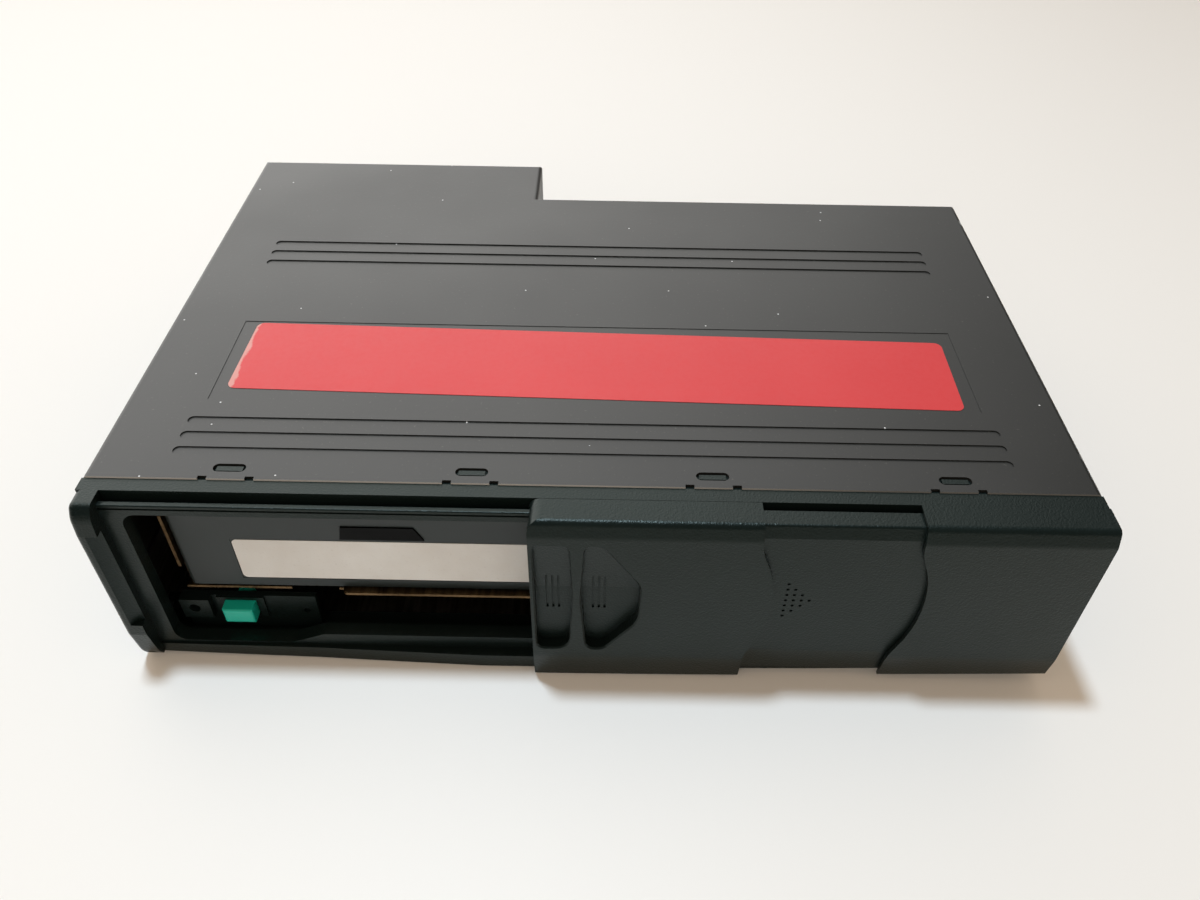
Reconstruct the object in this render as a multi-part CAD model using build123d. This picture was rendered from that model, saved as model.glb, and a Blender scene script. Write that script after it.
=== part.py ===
"""Car disc changer for six discs in a removable magazine, lying flat.

A folded sheet-steel case carries a moulded front. The slot in the front is closed by a
sliding door and a second shutter behind it. Behind the slot are the magazine with six
trays, the eject button, and on the right the play deck that a cam plate lifts from disc
to disc. Millimetres, +Z up, +X to the right seen from the front, front towards -Y.
The origin is the middle of the bounding box's underside.
"""

import os
from math import cos, pi, radians, sin

from build123d import *

# ---- driving dimensions -------------------------------------------------------------

DISC_RADIUS = 60.0
DISC_HOLE = 7.5
DISC_THICK = 1.2
DISC_COUNT = 6
PITCH = 5.15  # from one tray to the next

NOSE = 13.7  # how far the front face stands out of the steel
MAG_TOP = 6.9  # magazine below the case's top
UNDER_MAGAZINE = 20.8  # room for the circuit board and the eject button
REAR_BOX_DEPTH = 24.8  # connector box behind the left part of the case
REAR_BOX_WIDTH = 103.0

SHEET = 0.8  # cover steel
CHASSIS_SHEET = 1.0  # bottom steel
FOLD_RADIUS = 1.5  # outside of the cover's folds
PLASTIC = 1.5  # usual moulded wall
SKIN = 1.0  # wall of the door's tongue and of the shutter
MAG_WALL = 1.4
CLEAR = 0.3  # gap between pieces that pass each other
SEAT = 0.1  # gap between pieces that sit together
RUNNING = 0.05  # radial gap of a shaft in its hole

# ---- overall sizes, which follow from the discs --------------------------------------

MAG_WIDTH = 2 * DISC_RADIUS + 7.0
MAG_DEPTH = 2 * DISC_RADIUS + 12.0
MAG_HEIGHT = DISC_COUNT * PITCH + 2 * (MAG_WALL + CLEAR)
TRAY_THICK = PITCH - 1.75
WIDTH = MAG_WIDTH + 2 * DISC_RADIUS + 3.0  # magazine and play deck side by side
HEIGHT = MAG_TOP + MAG_HEIGHT + UNDER_MAGAZINE
BODY_DEPTH = MAG_DEPTH + 11.5  # folded steel case, front edge to back wall
HALF = WIDTH / 2
INNER = HALF - SHEET  # inside of the cover's sides
Y_FACE = -(NOSE + BODY_DEPTH + REAR_BOX_DEPTH) / 2
Y_STEEL = Y_FACE + NOSE
Y_BACK = Y_STEEL + BODY_DEPTH
Y_REAR = Y_BACK + REAR_BOX_DEPTH
REAR_BOX_RIGHT = -HALF + REAR_BOX_WIDTH

# ---- top of the case ------------------------------------------------------------------

GROOVE_LENGTH = WIDTH - 38.0  # pressed grooves in the top
GROOVE_WIDTH = 2.9
GROOVE_PITCH = 5.8
GROOVE_DEPTH = 0.35
GROOVE_COUNT = 3
FRONT_GROOVE_Y = 10.0  # first groove, behind the steel's front edge
REAR_GROOVE_Y = BODY_DEPTH - 45.0
LABEL_SIZE = (WIDTH - 50.5, 30.3)
LABEL_THICK = 0.12
LABEL_TURN = -1.2  # the label is stuck on slightly askew
LABEL_Y = 48.1  # middle of the label, behind the steel's front edge
LABEL_BED = (WIDTH - 43.0, 36.0, 0.15)  # shallow pressed field that the label lies in

SNAP_XS = (-89.8, -29.8, 29.8, 89.8)  # hooks of the front that show through the cover
SNAP_SLOT = (8.2, 2.8)
SNAP_Y = 3.9
SNAP_TAB = 11.6  # width of the cover's tab in front of each slot
EDGE_NOTCH = (2.2, 0.9)

# ---- front: x from the middle, the rest out of the steel or down from the top ----------

STRIP = 4.2  # front's top strip, depth
STRIP_DROP = 0.45  # it lies lower than the cover, whose cut edge shows
CHANNEL = 1.7  # groove that the door's hook runs in
RAIL = 1.7  # frame wall behind the door, thickness
RAIL_DOWN = 2.3
FRAME_OUT = STRIP + CHANNEL + RAIL  # front face of the frame wall
HOOK_DOWN = 4.2
CHANNEL_DOWN = 4.6
TUCK = 8.0  # flange of the front under the cover
EAR_WIDTH = 5.6  # fixed left end of the front
EAR_RIGHT = -HALF + EAR_WIDTH
EAR_FACE = 12.0
CHIN = 10.4  # lowest part of the front frame
CHIN_HEIGHT = 5.0
BELOW = HEIGHT - 0.2  # the front's raw lower edge, cut to the arc afterwards
BELLY_RADIUS = 2844.0  # the front's lower edge is a long arc
BELLY_X = -35.0  # where it is lowest
BELLY_LIFT = 0.5

MAG_LEFT = -HALF + 15.4
MAG_RIGHT = MAG_LEFT + MAG_WIDTH
MAG_FRONT = 0.5  # behind the steel's front edge
SLOT_LEFT = MAG_LEFT - 5.2
SLOT_RIGHT = MAG_RIGHT + 5.6
SLOT_TOP = 5.5
SLOT_BOTTOM = HEIGHT - 9.8
SLOT_DIP = HEIGHT - 6.2  # lower on the left, to reach the eject button
SLOT_DIP_END = -HALF + 43.0
SLOT_RISE_END = -HALF + 51.6
RIM_DEPTH = 4.1  # moulded rim behind the slot
RIM_WALL = 0.8

RAISED_LEFT = -15.2  # raised grip part of the door, half open
RAISED_WIDTH = 56.4
RAISED_DOWN = 0.2
RAISED_WALL = 1.7
TONGUE_FACE = 12.2  # lower part of the door
TONGUE_RIGHT = 85.3
TONGUE_DOWN = 1.2
TONGUE_FOOT = HEIGHT - 4.2
BEVEL_DOWN = 4.4  # where the sloping top edge meets the face
LOWER_CREASE = HEIGHT - 10.5
BULGE = 4.8  # sideways swell of the S-shaped edges
COVER_LEFT = 79.5  # fixed right cover
SHUTTER_BACK = 8.0
SHUTTER_LEFT = -14.0
SHUTTER_LENGTH = 104.6
SHUTTER_FOOT = HEIGHT - 5.6
RECESS_DEPTH = 3.4
RECESS_TOP = 7.4
RECESS_BOTTOM = HEIGHT - 14.0
RECESS_RIM = 0.4  # broken edge of the finger recesses
GRIP_GROOVES = 3
GRIP_PITCH = 1.5
DOT_RADIUS = 0.45  # moulded dots that point the way to open the door
DOT_DEPTH = 0.4
DOT_ROWS = 7  # in the first column, two fewer in each of the next
DOT_LEFT = 49.7
DOT_ACROSS = 2.0  # from column to column
DOT_STEP = 2.12  # from row to row
DOT_MIDDLE = 27.75

STICKER = (100.0, 15.1, 0.12)
STICKER_LEFT = MAG_LEFT + 15.3
STICKER_TOP = 22.9
PUSH_PAD = (22.0, 4.6)
PUSH_LEFT = MAG_LEFT + 44.1
PUSH_TOP = 17.1

BUTTON = (8.4, 5.4, 4.2)  # eject button: width, height, how far it stands out
BUTTON_X = -HALF + 27.8
BUTTON_TOP = HEIGHT - 15.1
STEM_RADIUS = 1.5
SPRING_Y = Y_STEEL + 5.0  # front end of the eject spring
SPRING_RADIUS = 2.4
SPRING_WIRE = 0.3
SPRING_TURNS = 5
SPRING_PITCH = 1.5
PANEL_LEFT = -HALF + 11.4  # panel round the eject button
PANEL_RIGHT = -HALF + 48.6
PANEL_TOP = HEIGHT - 16.6
PANEL_THICK = 1.6

# ---- sides and back --------------------------------------------------------------------

MOUNT_RADIUS = 2.1  # thread core of the side fixing holes
MOUNT_YS = (24.0, BODY_DEPTH - 19.5)  # behind the steel's front edge
MOUNT_Z = 16.0
MOUNT_BUSH = 4.0  # radius of the pressed-in nut
MOUNT_LENGTH = 3.0
DIAL_RADIUS = 7.0
DIAL_LIP = 1.4  # collar behind the cover's sheet
DIAL_Y = 74.0
DIAL_Z = 30.0
SCREW_HEAD = 2.6
SCREW_SHANK = 1.25
SCREW_Z = 4.2
SOCKET_X = -HALF + 33.0
SOCKET_SIZE = (34.0, 14.0)
SOCKET_Z = 22.0
FLANGE_SIDE = 24.0  # height of the chassis's side flanges
TRANSPORT_SPOTS = ((-HALF + 55.0, 38.0), (HALF - 29.0, 22.0), (HALF - 65.0, BODY_DEPTH - 21.5))
TRANSPORT_RADIUS = 3.0

# ---- magazine bay and board --------------------------------------------------------------

MAG_Y0 = Y_STEEL + MAG_FRONT
MAG_Y1 = MAG_Y0 + MAG_DEPTH
MAG_Z1 = HEIGHT - MAG_TOP
MAG_Z0 = MAG_Z1 - MAG_HEIGHT
DISC_X = MAG_LEFT + MAG_WIDTH / 2
DISC_Y = MAG_Y0 + MAG_DEPTH / 2
BAY_TOP_Z = MAG_Z0 - CLEAR
BAY_SHEET = 0.8
BAY_LEFT = MAG_LEFT - CLEAR - BAY_SHEET
BAY_RIGHT = MAG_RIGHT + 2.0
BAY_TAB = (14.0, 33.5)  # where the left wall reaches the front edge, from and to below the top
BAY_SETBACK = 3.0
BAY_LEAD_LEFT = -HALF + 57.3  # rounded lead-in of the bay's floor
BOARD_BOTTOM = 6.0
BOARD_TOP = BOARD_BOTTOM + 1.6
BOARD_LEFT = BAY_LEFT + 4.7
BOARD_RIGHT = BAY_RIGHT - 5.4
BOARD_FRONT = 26.0  # behind the steel's front edge
BOARD_BACK = BODY_DEPTH - 15.5
BOARD_INSET = 6.0  # of its screws
CAP_TOP = BAY_TOP_Z - BAY_SHEET - 5.1  # top of the round capacitors

# ---- play deck, lift at the bottom ---------------------------------------------------------

PLATE = 1.2  # carriage and deck plates
POST_RADIUS = 1.5
CARRIAGE_Z = 6.0  # underside of the carriage plate
CARRIAGE_TOP = CARRIAGE_Z + PLATE
CARRIAGE_LEFT = BAY_RIGHT + 7.1
CARRIAGE_RIGHT = HALF - 6.4
CARRIAGE_FRONT = 7.5  # behind the steel's front edge
CARRIAGE_BACK = BODY_DEPTH - 5.5
CAM_X = CARRIAGE_RIGHT + 1.3
SPIN_X = CAM_X - 3 * CLEAR - DISC_RADIUS  # a disc on the deck passes beside the cam plate
SPIN_Y = DISC_Y
POST_LEFT = CARRIAGE_LEFT + 4.5
POST_RIGHT = CARRIAGE_RIGHT - 4.6
POST_BACK = BODY_DEPTH - 10.5
POSTS = ((POST_RIGHT, 12.0), (POST_RIGHT, POST_BACK), (POST_LEFT, POST_BACK))
DAMPERS = (
    (CARRIAGE_LEFT + 7.5, 34.0),
    (CARRIAGE_RIGHT - 7.6, 30.0),
    (CARRIAGE_RIGHT - 7.6, BODY_DEPTH - 31.5),
)
DAMPER_LOW = 1.6
DAMPER_HIGH = 1.4
DECK_BOTTOM = CARRIAGE_TOP + DAMPER_LOW + DAMPER_HIGH
DECK_TOP = DECK_BOTTOM + PLATE
LIFT_TRAVEL = (DISC_COUNT - 1) * PITCH + 8.25
SLED_Y = SPIN_Y + 24.0
SLED_Z = DECK_BOTTOM - 3.0
SLED_TRAVEL = 33.0
ROD_X = SPIN_X - 15.5
SCREW_X = SPIN_X + 15.5
SLED_END = SPIN_Y + 64.0  # back end of the openings that the sled runs in
ARM_Z = DECK_TOP + 8.4
ARM_PIVOT_Y = SPIN_Y + DISC_RADIUS + 4.0  # behind the disc
ARM_PIVOT_Z = ARM_Z + PLATE / 2
EAR_LEFT_X = SPIN_X - 19.0  # bracket ears of the arm, beside the sled's openings
EAR_RIGHT_X = SPIN_X + 21.0
EAR_THICK = 2.0

MODULE = 0.8  # of the small gears
RACK_DEPTH = 1.7
RACK_STEP = pi * MODULE
LIFT_TEETH = 10
LIFT_PITCH = MODULE * LIFT_TEETH / 2
CAM_LENGTH = 78.0
CAM_PLATE = 0.8
CAM_Y0 = Y_STEEL + 17.0
CAM_PIN = 1.7
CAM_PIN_Y = CAM_Y0 + 52.0
CAM_PIN_Z = CARRIAGE_Z + 4.0
CAM_TOP = CAM_PIN_Z + LIFT_TRAVEL + 6.0  # pitch line of the rack on the cam plate
LIFT_GEAR_Y = CAM_Y0 + 28 * RACK_STEP  # over a gap between two teeth of the rack
LOADING_TEETH = 12
LOADING_PITCH = MODULE * LOADING_TEETH / 2
LOADING_SHAFT = 0.8
FLAT_MOTOR = 4.3  # height
HOOK_LEFT = CARRIAGE_LEFT + 0.5
HOOK_LENGTH = 43.0
HOOK_Y = Y_STEEL + 12.0  # pitch line of its rack
HOOK_Z = CARRIAGE_TOP + CLEAR
LOADING_GEAR = (HOOK_LEFT + 16 * RACK_STEP, HOOK_Y + LOADING_PITCH)  # over a gap of the rack

os.makedirs("parts", exist_ok=True)
written = []


# ---- helpers ------------------------------------------------------------------------


def block(x0, x1, y0, y1, z0, z1):
    """A box between two corners."""
    return Pos((x0 + x1) / 2, (y0 + y1) / 2, (z0 + z1) / 2) * Box(x1 - x0, y1 - y0, z1 - z0)


def front_block(x0, x1, out0, out1, down0, down1):
    """A box placed by how far it stands out of the steel and lies below the top."""
    return block(x0, x1, Y_STEEL - out1, Y_STEEL - out0, HEIGHT - down1, HEIGHT - down0)


def rounded(points, corners):
    """Closed outline; corners maps the index of a point to its radius."""
    face = Polygon(*points, align=None)
    for index, radius in corners.items():
        spot = Vector(*points[index])
        vertex = min(face.vertices(), key=lambda v: (Vector(v.X, v.Y) - spot).length)
        face = fillet(vertex, radius)
    return face


def side_profile(points, x0, x1, corners=None):
    """Extrudes an outline of (out, down) points from x0 to x1."""
    spots = [(Y_STEEL - out, HEIGHT - down) for out, down in points]
    face = Plane.YZ.offset(x0) * rounded(spots, corners or {})
    return extrude(face, x1 - x0, dir=(1, 0, 0))


def front_profile(points, out0, out1, corners=None):
    """Extrudes an outline of (x, down) points from out0 to out1 in front of the steel."""
    spots = [(x, HEIGHT - down) for x, down in points]
    face = Plane.XZ.offset(-(Y_STEEL - out0)) * rounded(spots, corners or {})
    return extrude(face, out1 - out0, dir=(0, -1, 0))


def rod(x, y, z, radius, length, axis="Z"):
    """A round bar from (x, y, z) along one axis."""
    turn = {"X": Rot(0, 90, 0), "Y": Rot(-90, 0, 0), "Z": Rot(0, 0, 0)}[axis]
    flat = (Align.CENTER, Align.CENTER, Align.MIN)
    return Pos(x, y, z) * turn * Cylinder(radius, length, align=flat)


def stadium(x, y, z, length, width, depth):
    """A slot-shaped bar lying along X, from z upwards."""
    return Pos(x, y, z) * extrude(SlotOverall(length, width), depth)


def joined(solids):
    """One solid from several that touch."""
    first, *rest = solids
    return first.fuse(*rest) if rest else first


def belly():
    """Everything above the long arc of the front's lower edge."""
    centre = Pos(BELLY_X, Y_STEEL, BELLY_LIFT + BELLY_RADIUS)
    return centre * Rot(90, 0, 0) * Cylinder(BELLY_RADIUS, 4 * NOSE)


def save(name, shape):
    """Writes one node."""
    export_step(shape, f"parts/{name}.step")
    written.append(name)


# ---- folded steel case --------------------------------------------------------------


def footprint(inset):
    """L-shaped outline of the case, seen from above."""
    left, right = -HALF + inset, HALF - inset
    step = REAR_BOX_RIGHT - inset
    front, back, rear = Y_STEEL, Y_BACK - inset, Y_REAR - inset
    return [(left, front), (right, front), (right, back), (step, back), (step, rear), (left, rear)]


def top_cover():
    """Cover with folded sides and back, pressed grooves, snap slots and front tabs."""
    shell = extrude(Polygon(*footprint(0), align=None), HEIGHT)
    top_edges = shell.edges().group_by(Axis.Z)[-1].filter_by(lambda e: e.center().Y > Y_STEEL + 0.1)
    shell = fillet(top_edges, FOLD_RADIUS)
    hollow = extrude(Polygon(*footprint(SHEET), align=None), HEIGHT - SHEET)
    shell -= hollow
    shell -= block(-HALF, HALF, Y_STEEL - 1, Y_REAR + 1, -1, CHASSIS_SHEET + SEAT)
    for first in (FRONT_GROOVE_Y, REAR_GROOVE_Y):
        for row in range(GROOVE_COUNT):
            y = Y_STEEL + first + row * GROOVE_PITCH
            shell -= stadium(0, y, HEIGHT - GROOVE_DEPTH, GROOVE_LENGTH, GROOVE_WIDTH, 1)
    bed_w, bed_h, bed_d = LABEL_BED
    y = Y_STEEL + LABEL_Y
    shell -= block(-bed_w / 2, bed_w / 2, y - bed_h / 2, y + bed_h / 2, HEIGHT - bed_d, HEIGHT + 1)
    notch_w, notch_d = EDGE_NOTCH
    for x in SNAP_XS:
        shell -= stadium(x, Y_STEEL + SNAP_Y, HEIGHT - 3, *SNAP_SLOT, 4)
        for side in (-1, 1):
            n = x + side * SNAP_TAB / 2
            shell -= block(
                n - notch_w / 2, n + notch_w / 2, Y_STEEL - 1, Y_STEEL + notch_d, HEIGHT - 2, HEIGHT + 1
            )
    for side in (-1, 1):
        for hole in mount_spots(side):
            shell -= rod(side * (HALF + 1) - 4, *hole, MOUNT_RADIUS + 0.8, 8, "X")
        shell -= rod(side * (HALF + 1) - 4, Y_STEEL + DIAL_Y, DIAL_Z, DIAL_RADIUS + CLEAR, 8, "X")
    for screw in cover_screw_spots():
        shell -= countersunk(*screw, grow=RUNNING)
    shell -= socket_opening(CLEAR)
    return shell


def mount_spots(side):
    """Y and Z of the two fixing holes on a side."""
    return [(Y_STEEL + y, MOUNT_Z) for y in MOUNT_YS]


def cover_screw_spots():
    """Where the flush screws sit: x, y, z and the way they point."""
    spots = []
    for side in (-1, 1):
        for y in (9.0, BODY_DEPTH - 9.0):
            spots.append((side * HALF, Y_STEEL + y, SCREW_Z, (-side, 0, 0)))
    for x in (REAR_BOX_RIGHT + 12.0, HALF - 12.0):
        spots.append((x, Y_BACK, SCREW_Z, (0, -1, 0)))
    return spots


def countersunk(x, y, z, way, grow=0.0):
    """A flush screw: cone head and shank, from the surface inwards."""
    flat = (Align.CENTER, Align.CENTER, Align.MIN)
    head = Cone(SCREW_HEAD + grow, SCREW_SHANK + grow, 1.3, align=flat)
    shank = Cylinder(SCREW_SHANK + grow, 5.0, align=flat)
    return Plane(origin=(x, y, z), z_dir=way) * (head + shank)


def cover_screws():
    """Six cross-head screws that hold the cover to the chassis."""
    return Compound(children=[countersunk(*spot) for spot in cover_screw_spots()])


def socket_opening(grow):
    """Window for the connector in the back of the rear box."""
    w, h = SOCKET_SIZE
    return block(
        SOCKET_X - w / 2 - grow, SOCKET_X + w / 2 + grow, Y_REAR - 6, Y_REAR + 1,
        SOCKET_Z - h / 2 - grow, SOCKET_Z + h / 2 + grow,
    )


def bottom_chassis():
    """Bottom tray with side flanges, a back wall and nuts for the fixing screws."""
    gap = SHEET + SEAT
    floor = extrude(Polygon(*footprint(gap), align=None), HEIGHT - SHEET - SEAT)
    room = extrude(Polygon(*footprint(gap + CHASSIS_SHEET), align=None), HEIGHT)
    floor -= Pos(0, 0, CHASSIS_SHEET) * room
    floor -= block(-HALF, HALF, Y_STEEL - 1, Y_BACK - 4, FLANGE_SIDE, HEIGHT)
    for side in (-1, 1):
        for y, z in mount_spots(side):
            start = side * (INNER - SEAT)
            nut = rod(min(start, start - side * MOUNT_LENGTH), y, z, MOUNT_BUSH, MOUNT_LENGTH, "X")
            floor += nut
            floor -= rod(-HALF if side < 0 else HALF - 10, y, z, MOUNT_RADIUS, 10, "X")
        floor -= rod(side * HALF - 4, Y_STEEL + DIAL_Y, DIAL_Z, DIAL_RADIUS + DIAL_LIP + CLEAR, 8, "X")
    for x, y in TRANSPORT_SPOTS:
        floor -= rod(x, Y_STEEL + y, -1, TRANSPORT_RADIUS + CLEAR, 4)
    for screw in cover_screw_spots():
        floor -= countersunk(*screw, grow=RUNNING)
    floor -= socket_opening(CLEAR)
    return floor


def transport_screws():
    """Three locking screws in the floor that hold the deck still on the way to the shop."""
    screws = []
    for x, y in TRANSPORT_SPOTS:
        head = rod(x, Y_STEEL + y, 0.1, TRANSPORT_RADIUS, 1.8)
        head -= block(x - 0.4, x + 0.4, Y_STEEL + y - 2.2, Y_STEEL + y + 2.2, 0, 0.9)
        screws.append(head + rod(x, Y_STEEL + y, 1.9, 1.4, 3.2))
    return Compound(children=screws)


def top_label():
    """Bare red sticker on the cover."""
    w, h = LABEL_SIZE
    sticker = extrude(RectangleRounded(w, h, 2.2), LABEL_THICK)
    bed = HEIGHT - LABEL_BED[2]
    return Pos(0, Y_STEEL + LABEL_Y, bed) * Rot(0, 0, LABEL_TURN) * sticker


def angle_dial(side):
    """Slotted dial on a side that sets the springs for the mounting angle."""
    y = Y_STEEL + DIAL_Y
    steps = ((0.3, DIAL_RADIUS, 0.8), (1.1, DIAL_RADIUS + DIAL_LIP, 1.0), (2.1, 4.0, 1.2))
    dial = []
    for inset, radius, thick in steps:
        x0, x1 = sorted((side * (HALF - inset), side * (HALF - inset - thick)))
        dial.append(rod(x0, y, DIAL_Z, radius, x1 - x0, "X"))
    x0, x1 = sorted((side * HALF, side * (HALF - 1.2)))
    return joined(dial) - block(x0, x1, y - 5.0, y + 5.0, DIAL_Z - 0.7, DIAL_Z + 0.7)


def rear_socket():
    """Female connector block with its shroud and a row of contacts, set in the rear box."""
    w, h = SOCKET_SIZE
    deep = 12.0
    body = block(
        SOCKET_X - w / 2, SOCKET_X + w / 2, Y_REAR - deep, Y_REAR - 0.4, SOCKET_Z - h / 2, SOCKET_Z + h / 2
    )
    body -= block(
        SOCKET_X - w / 2 + PLASTIC, SOCKET_X + w / 2 - PLASTIC, Y_REAR - deep + 3, Y_REAR,
        SOCKET_Z - h / 2 + PLASTIC, SOCKET_Z + h / 2 - PLASTIC,
    )
    latch_z = SOCKET_Z + h / 2
    return body - block(SOCKET_X - 4, SOCKET_X + 4, Y_REAR - 8, Y_REAR, latch_z - 2, latch_z + 1)


def socket_pins():
    """Two rows of square contacts inside the socket."""
    pins = []
    for row in (-2.2, 2.2):
        for column in range(8):
            x = SOCKET_X + (column - 3.5) * 3.4
            z = SOCKET_Z + row
            pins.append(block(x - 0.4, x + 0.4, Y_REAR - 9, Y_REAR - 3, z - 0.4, z + 0.4))
    return Compound(children=pins)


# ---- moulded front ------------------------------------------------------------------


def slot_outline(grow=0.0):
    """The slot in (x, down) points, with the dip on the left."""
    return [
        (SLOT_LEFT - grow, SLOT_TOP - grow),
        (SLOT_RIGHT + grow, SLOT_TOP - grow),
        (SLOT_RIGHT + grow, SLOT_BOTTOM + grow),
        (SLOT_RISE_END + grow, SLOT_BOTTOM + grow),
        (SLOT_DIP_END + grow, SLOT_DIP + grow),
        (SLOT_LEFT - grow, SLOT_DIP + grow),
    ]


def slot_corners(grow=0.0):
    """Corner radii of the slot."""
    return {0: 4.0 + grow, 1: 2.0 + grow, 2: 2.0 + grow, 3: 3.0, 4: 3.0, 5: 3.5 + grow}


def front_bezel():
    """Frame round the slot: strip, hook channel, rail, rim, lip, chin and left ear."""
    behind = STRIP + CHANNEL
    wall = side_profile(
        [(behind, RAIL_DOWN), (FRAME_OUT, RAIL_DOWN), (FRAME_OUT, BELOW), (behind, BELOW)],
        EAR_RIGHT - 1, HALF - 2, {0: 0.4, 1: 0.4},
    )
    strip = front_block(-HALF, HALF, SEAT, STRIP, STRIP_DROP, 1.8)
    tuck = front_block(-INNER + 1, INNER - 1, -TUCK, STRIP, SHEET + SEAT, SHEET + SEAT + 1.4)
    drop = front_block(-INNER, INNER, STRIP - 1.2, STRIP, 0.9, CHANNEL_DOWN + 1)
    bed = front_block(EAR_RIGHT - 1, HALF - 2, STRIP - 1.2, FRAME_OUT - 0.5, CHANNEL_DOWN, CHANNEL_DOWN + 1)
    chin = chin_rail()
    sill = front_block(-INNER + 2, INNER - 2, -6, FRAME_OUT, BELOW - 2.4, BELOW - 1.2)
    rim = front_profile(
        slot_outline(RIM_WALL), FRAME_OUT - RIM_DEPTH, FRAME_OUT - 0.5, slot_corners(RIM_WALL)
    )
    right_end = front_block(HALF - 2.2, HALF, SEAT, behind, STRIP_DROP, BELOW)
    frame = joined([wall, strip, tuck, drop, bed, chin, sill, rim, right_end, left_ear()])
    frame -= front_profile(slot_outline(), -TUCK, FRAME_OUT + 4, slot_corners())
    frame -= front_block(EAR_RIGHT, HALF - 2.4, FRAME_OUT - 0.4, NOSE, 3.2, 3.8)
    frame -= front_block(COVER_LEFT - 4, HALF + 1, STRIP + 0.2, NOSE, -1, 1.2)
    y = Y_STEEL + SNAP_Y
    for x in SNAP_XS:
        frame += block(x - 3.3, x + 3.3, y - 0.8, y + 0.8, HEIGHT - 1.6, HEIGHT - 0.3)
    return frame & belly()


def chin_rail():
    """Lower edge of the frame, bowed forward towards the middle."""
    spots = [
        (EAR_RIGHT - 1, Y_STEEL - STRIP),
        (EAR_RIGHT - 1, Y_STEEL - FRAME_OUT - 0.6),
        (BELLY_X - 40, Y_STEEL - FRAME_OUT - 1.2),
        (BELLY_X + 5, Y_STEEL - CHIN),
        (HALF - 2, Y_STEEL - CHIN),
        (HALF - 2, Y_STEEL - STRIP),
    ]
    chin = extrude(rounded(spots, {2: 60.0, 3: 60.0}), CHIN_HEIGHT)
    return Pos(0, 0, HEIGHT - BELOW) * chin


def left_ear():
    """Fixed left end: rounded moulded block, hollow behind, with a finger scoop."""
    outline = [
        (SEAT, STRIP_DROP), (9.4, STRIP_DROP), (11.4, 3.6), (EAR_FACE, 9.0),
        (EAR_FACE, BELOW - 13.8), (10.4, BELOW - 3.8), (8.0, BELOW), (SEAT, BELOW),
    ]
    ear = side_profile(outline, -HALF, EAR_RIGHT, {1: 2.0, 2: 6.0, 5: 8.0})
    outer = ear.edges().filter_by(lambda e: abs(e.center().X + HALF) < 0.01 and e.center().Y < Y_STEEL - 5)
    ear = fillet(outer, 1.6)
    ear -= front_block(-HALF + PLASTIC, EAR_RIGHT - PLASTIC, -1, EAR_FACE - 1.8, 2, BELOW - 2)
    scoop = rod(EAR_RIGHT + 1.0, Y_STEEL - EAR_FACE - 2.2, HEIGHT - 44, 4.6, 35)
    return ear - scoop


def s_edge(x, out0, out1, side):
    """Everything on one side of an S-shaped edge that starts at x."""
    far = x + side * 2 * HALF
    # Shares of the bulge and of the face's height.
    shape = [(0, 0), (0.55, 0.21), (1.0, 0.51), (0.5, 0.82), (0.0, 1.0)]
    face_height = LOWER_CREASE - BEVEL_DOWN
    spots = [(x + swell * BULGE, HEIGHT - BEVEL_DOWN - way * face_height) for swell, way in shape]
    curve = Spline(*spots, tangents=[(0, -1), (-0.05, -1)])
    foot = -HEIGHT / 4
    path = [
        Line((far, HEIGHT + 5), (x, HEIGHT + 5)),
        Line((x, HEIGHT + 5), curve @ 0),
        curve,
        Line(curve @ 1, (x - 0.6, foot)),
        Line((x - 0.6, foot), (far, foot)),
        Line((far, foot), (far, HEIGHT + 5)),
    ]
    face = Plane.XZ.offset(-(Y_STEEL - out0)) * make_face(path)
    return extrude(face, out1 - out0, dir=(0, -1, 0))


def right_cover():
    """Fixed right part of the front, flush with the raised part of the door."""
    wall = NOSE - TONGUE_FACE - CLEAR
    face = [(12.2, 0.05), (NOSE, BEVEL_DOWN), (NOSE, LOWER_CREASE - 2), (12.0, BELOW)]
    back = [
        (TONGUE_FACE - SKIN, BELOW), (NOSE - wall, LOWER_CREASE - 2), (NOSE - wall, BEVEL_DOWN + 0.1),
        (11.2, TONGUE_DOWN - CLEAR), (STRIP + 0.4, TONGUE_DOWN - CLEAR),
    ]
    corners = {1: 1.8, 2: 3.0, 3: 14.0}
    skin = side_profile([(STRIP + 0.4, 0.05), *face, *back], COVER_LEFT - 3, HALF, corners)
    skin -= s_edge(COVER_LEFT, -1, NOSE + 1, -1)
    inside = STRIP + CHANNEL + SEAT
    end = side_profile([(inside, 0.05), *face, (inside, BELOW)], HALF - 1.0, HALF, corners)
    return (skin + end) & belly()


def groove_set(x, out):
    """Short upright grip grooves."""
    columns = [x + n * GRIP_PITCH for n in range(GRIP_GROOVES)]
    return [front_block(c - 0.3, c + 0.3, out - 0.5, out + 2, 21.2, 34.6) for c in columns]


def opening_dots():
    """Moulded dots that shrink to a point towards the right."""
    dots = []
    for column in range((DOT_ROWS + 1) // 2):
        count = DOT_ROWS - 2 * column
        for row in range(count):
            x = DOT_LEFT + column * DOT_ACROSS
            z = HEIGHT - DOT_MIDDLE + (row - (count - 1) / 2) * DOT_STEP
            spot = Plane(origin=(x, Y_STEEL - TONGUE_FACE + DOT_DEPTH, z), z_dir=(0, -1, 0))
            dots.append(spot * extrude(RegularPolygon(DOT_RADIUS, 8), 1.0))
    return dots


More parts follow.
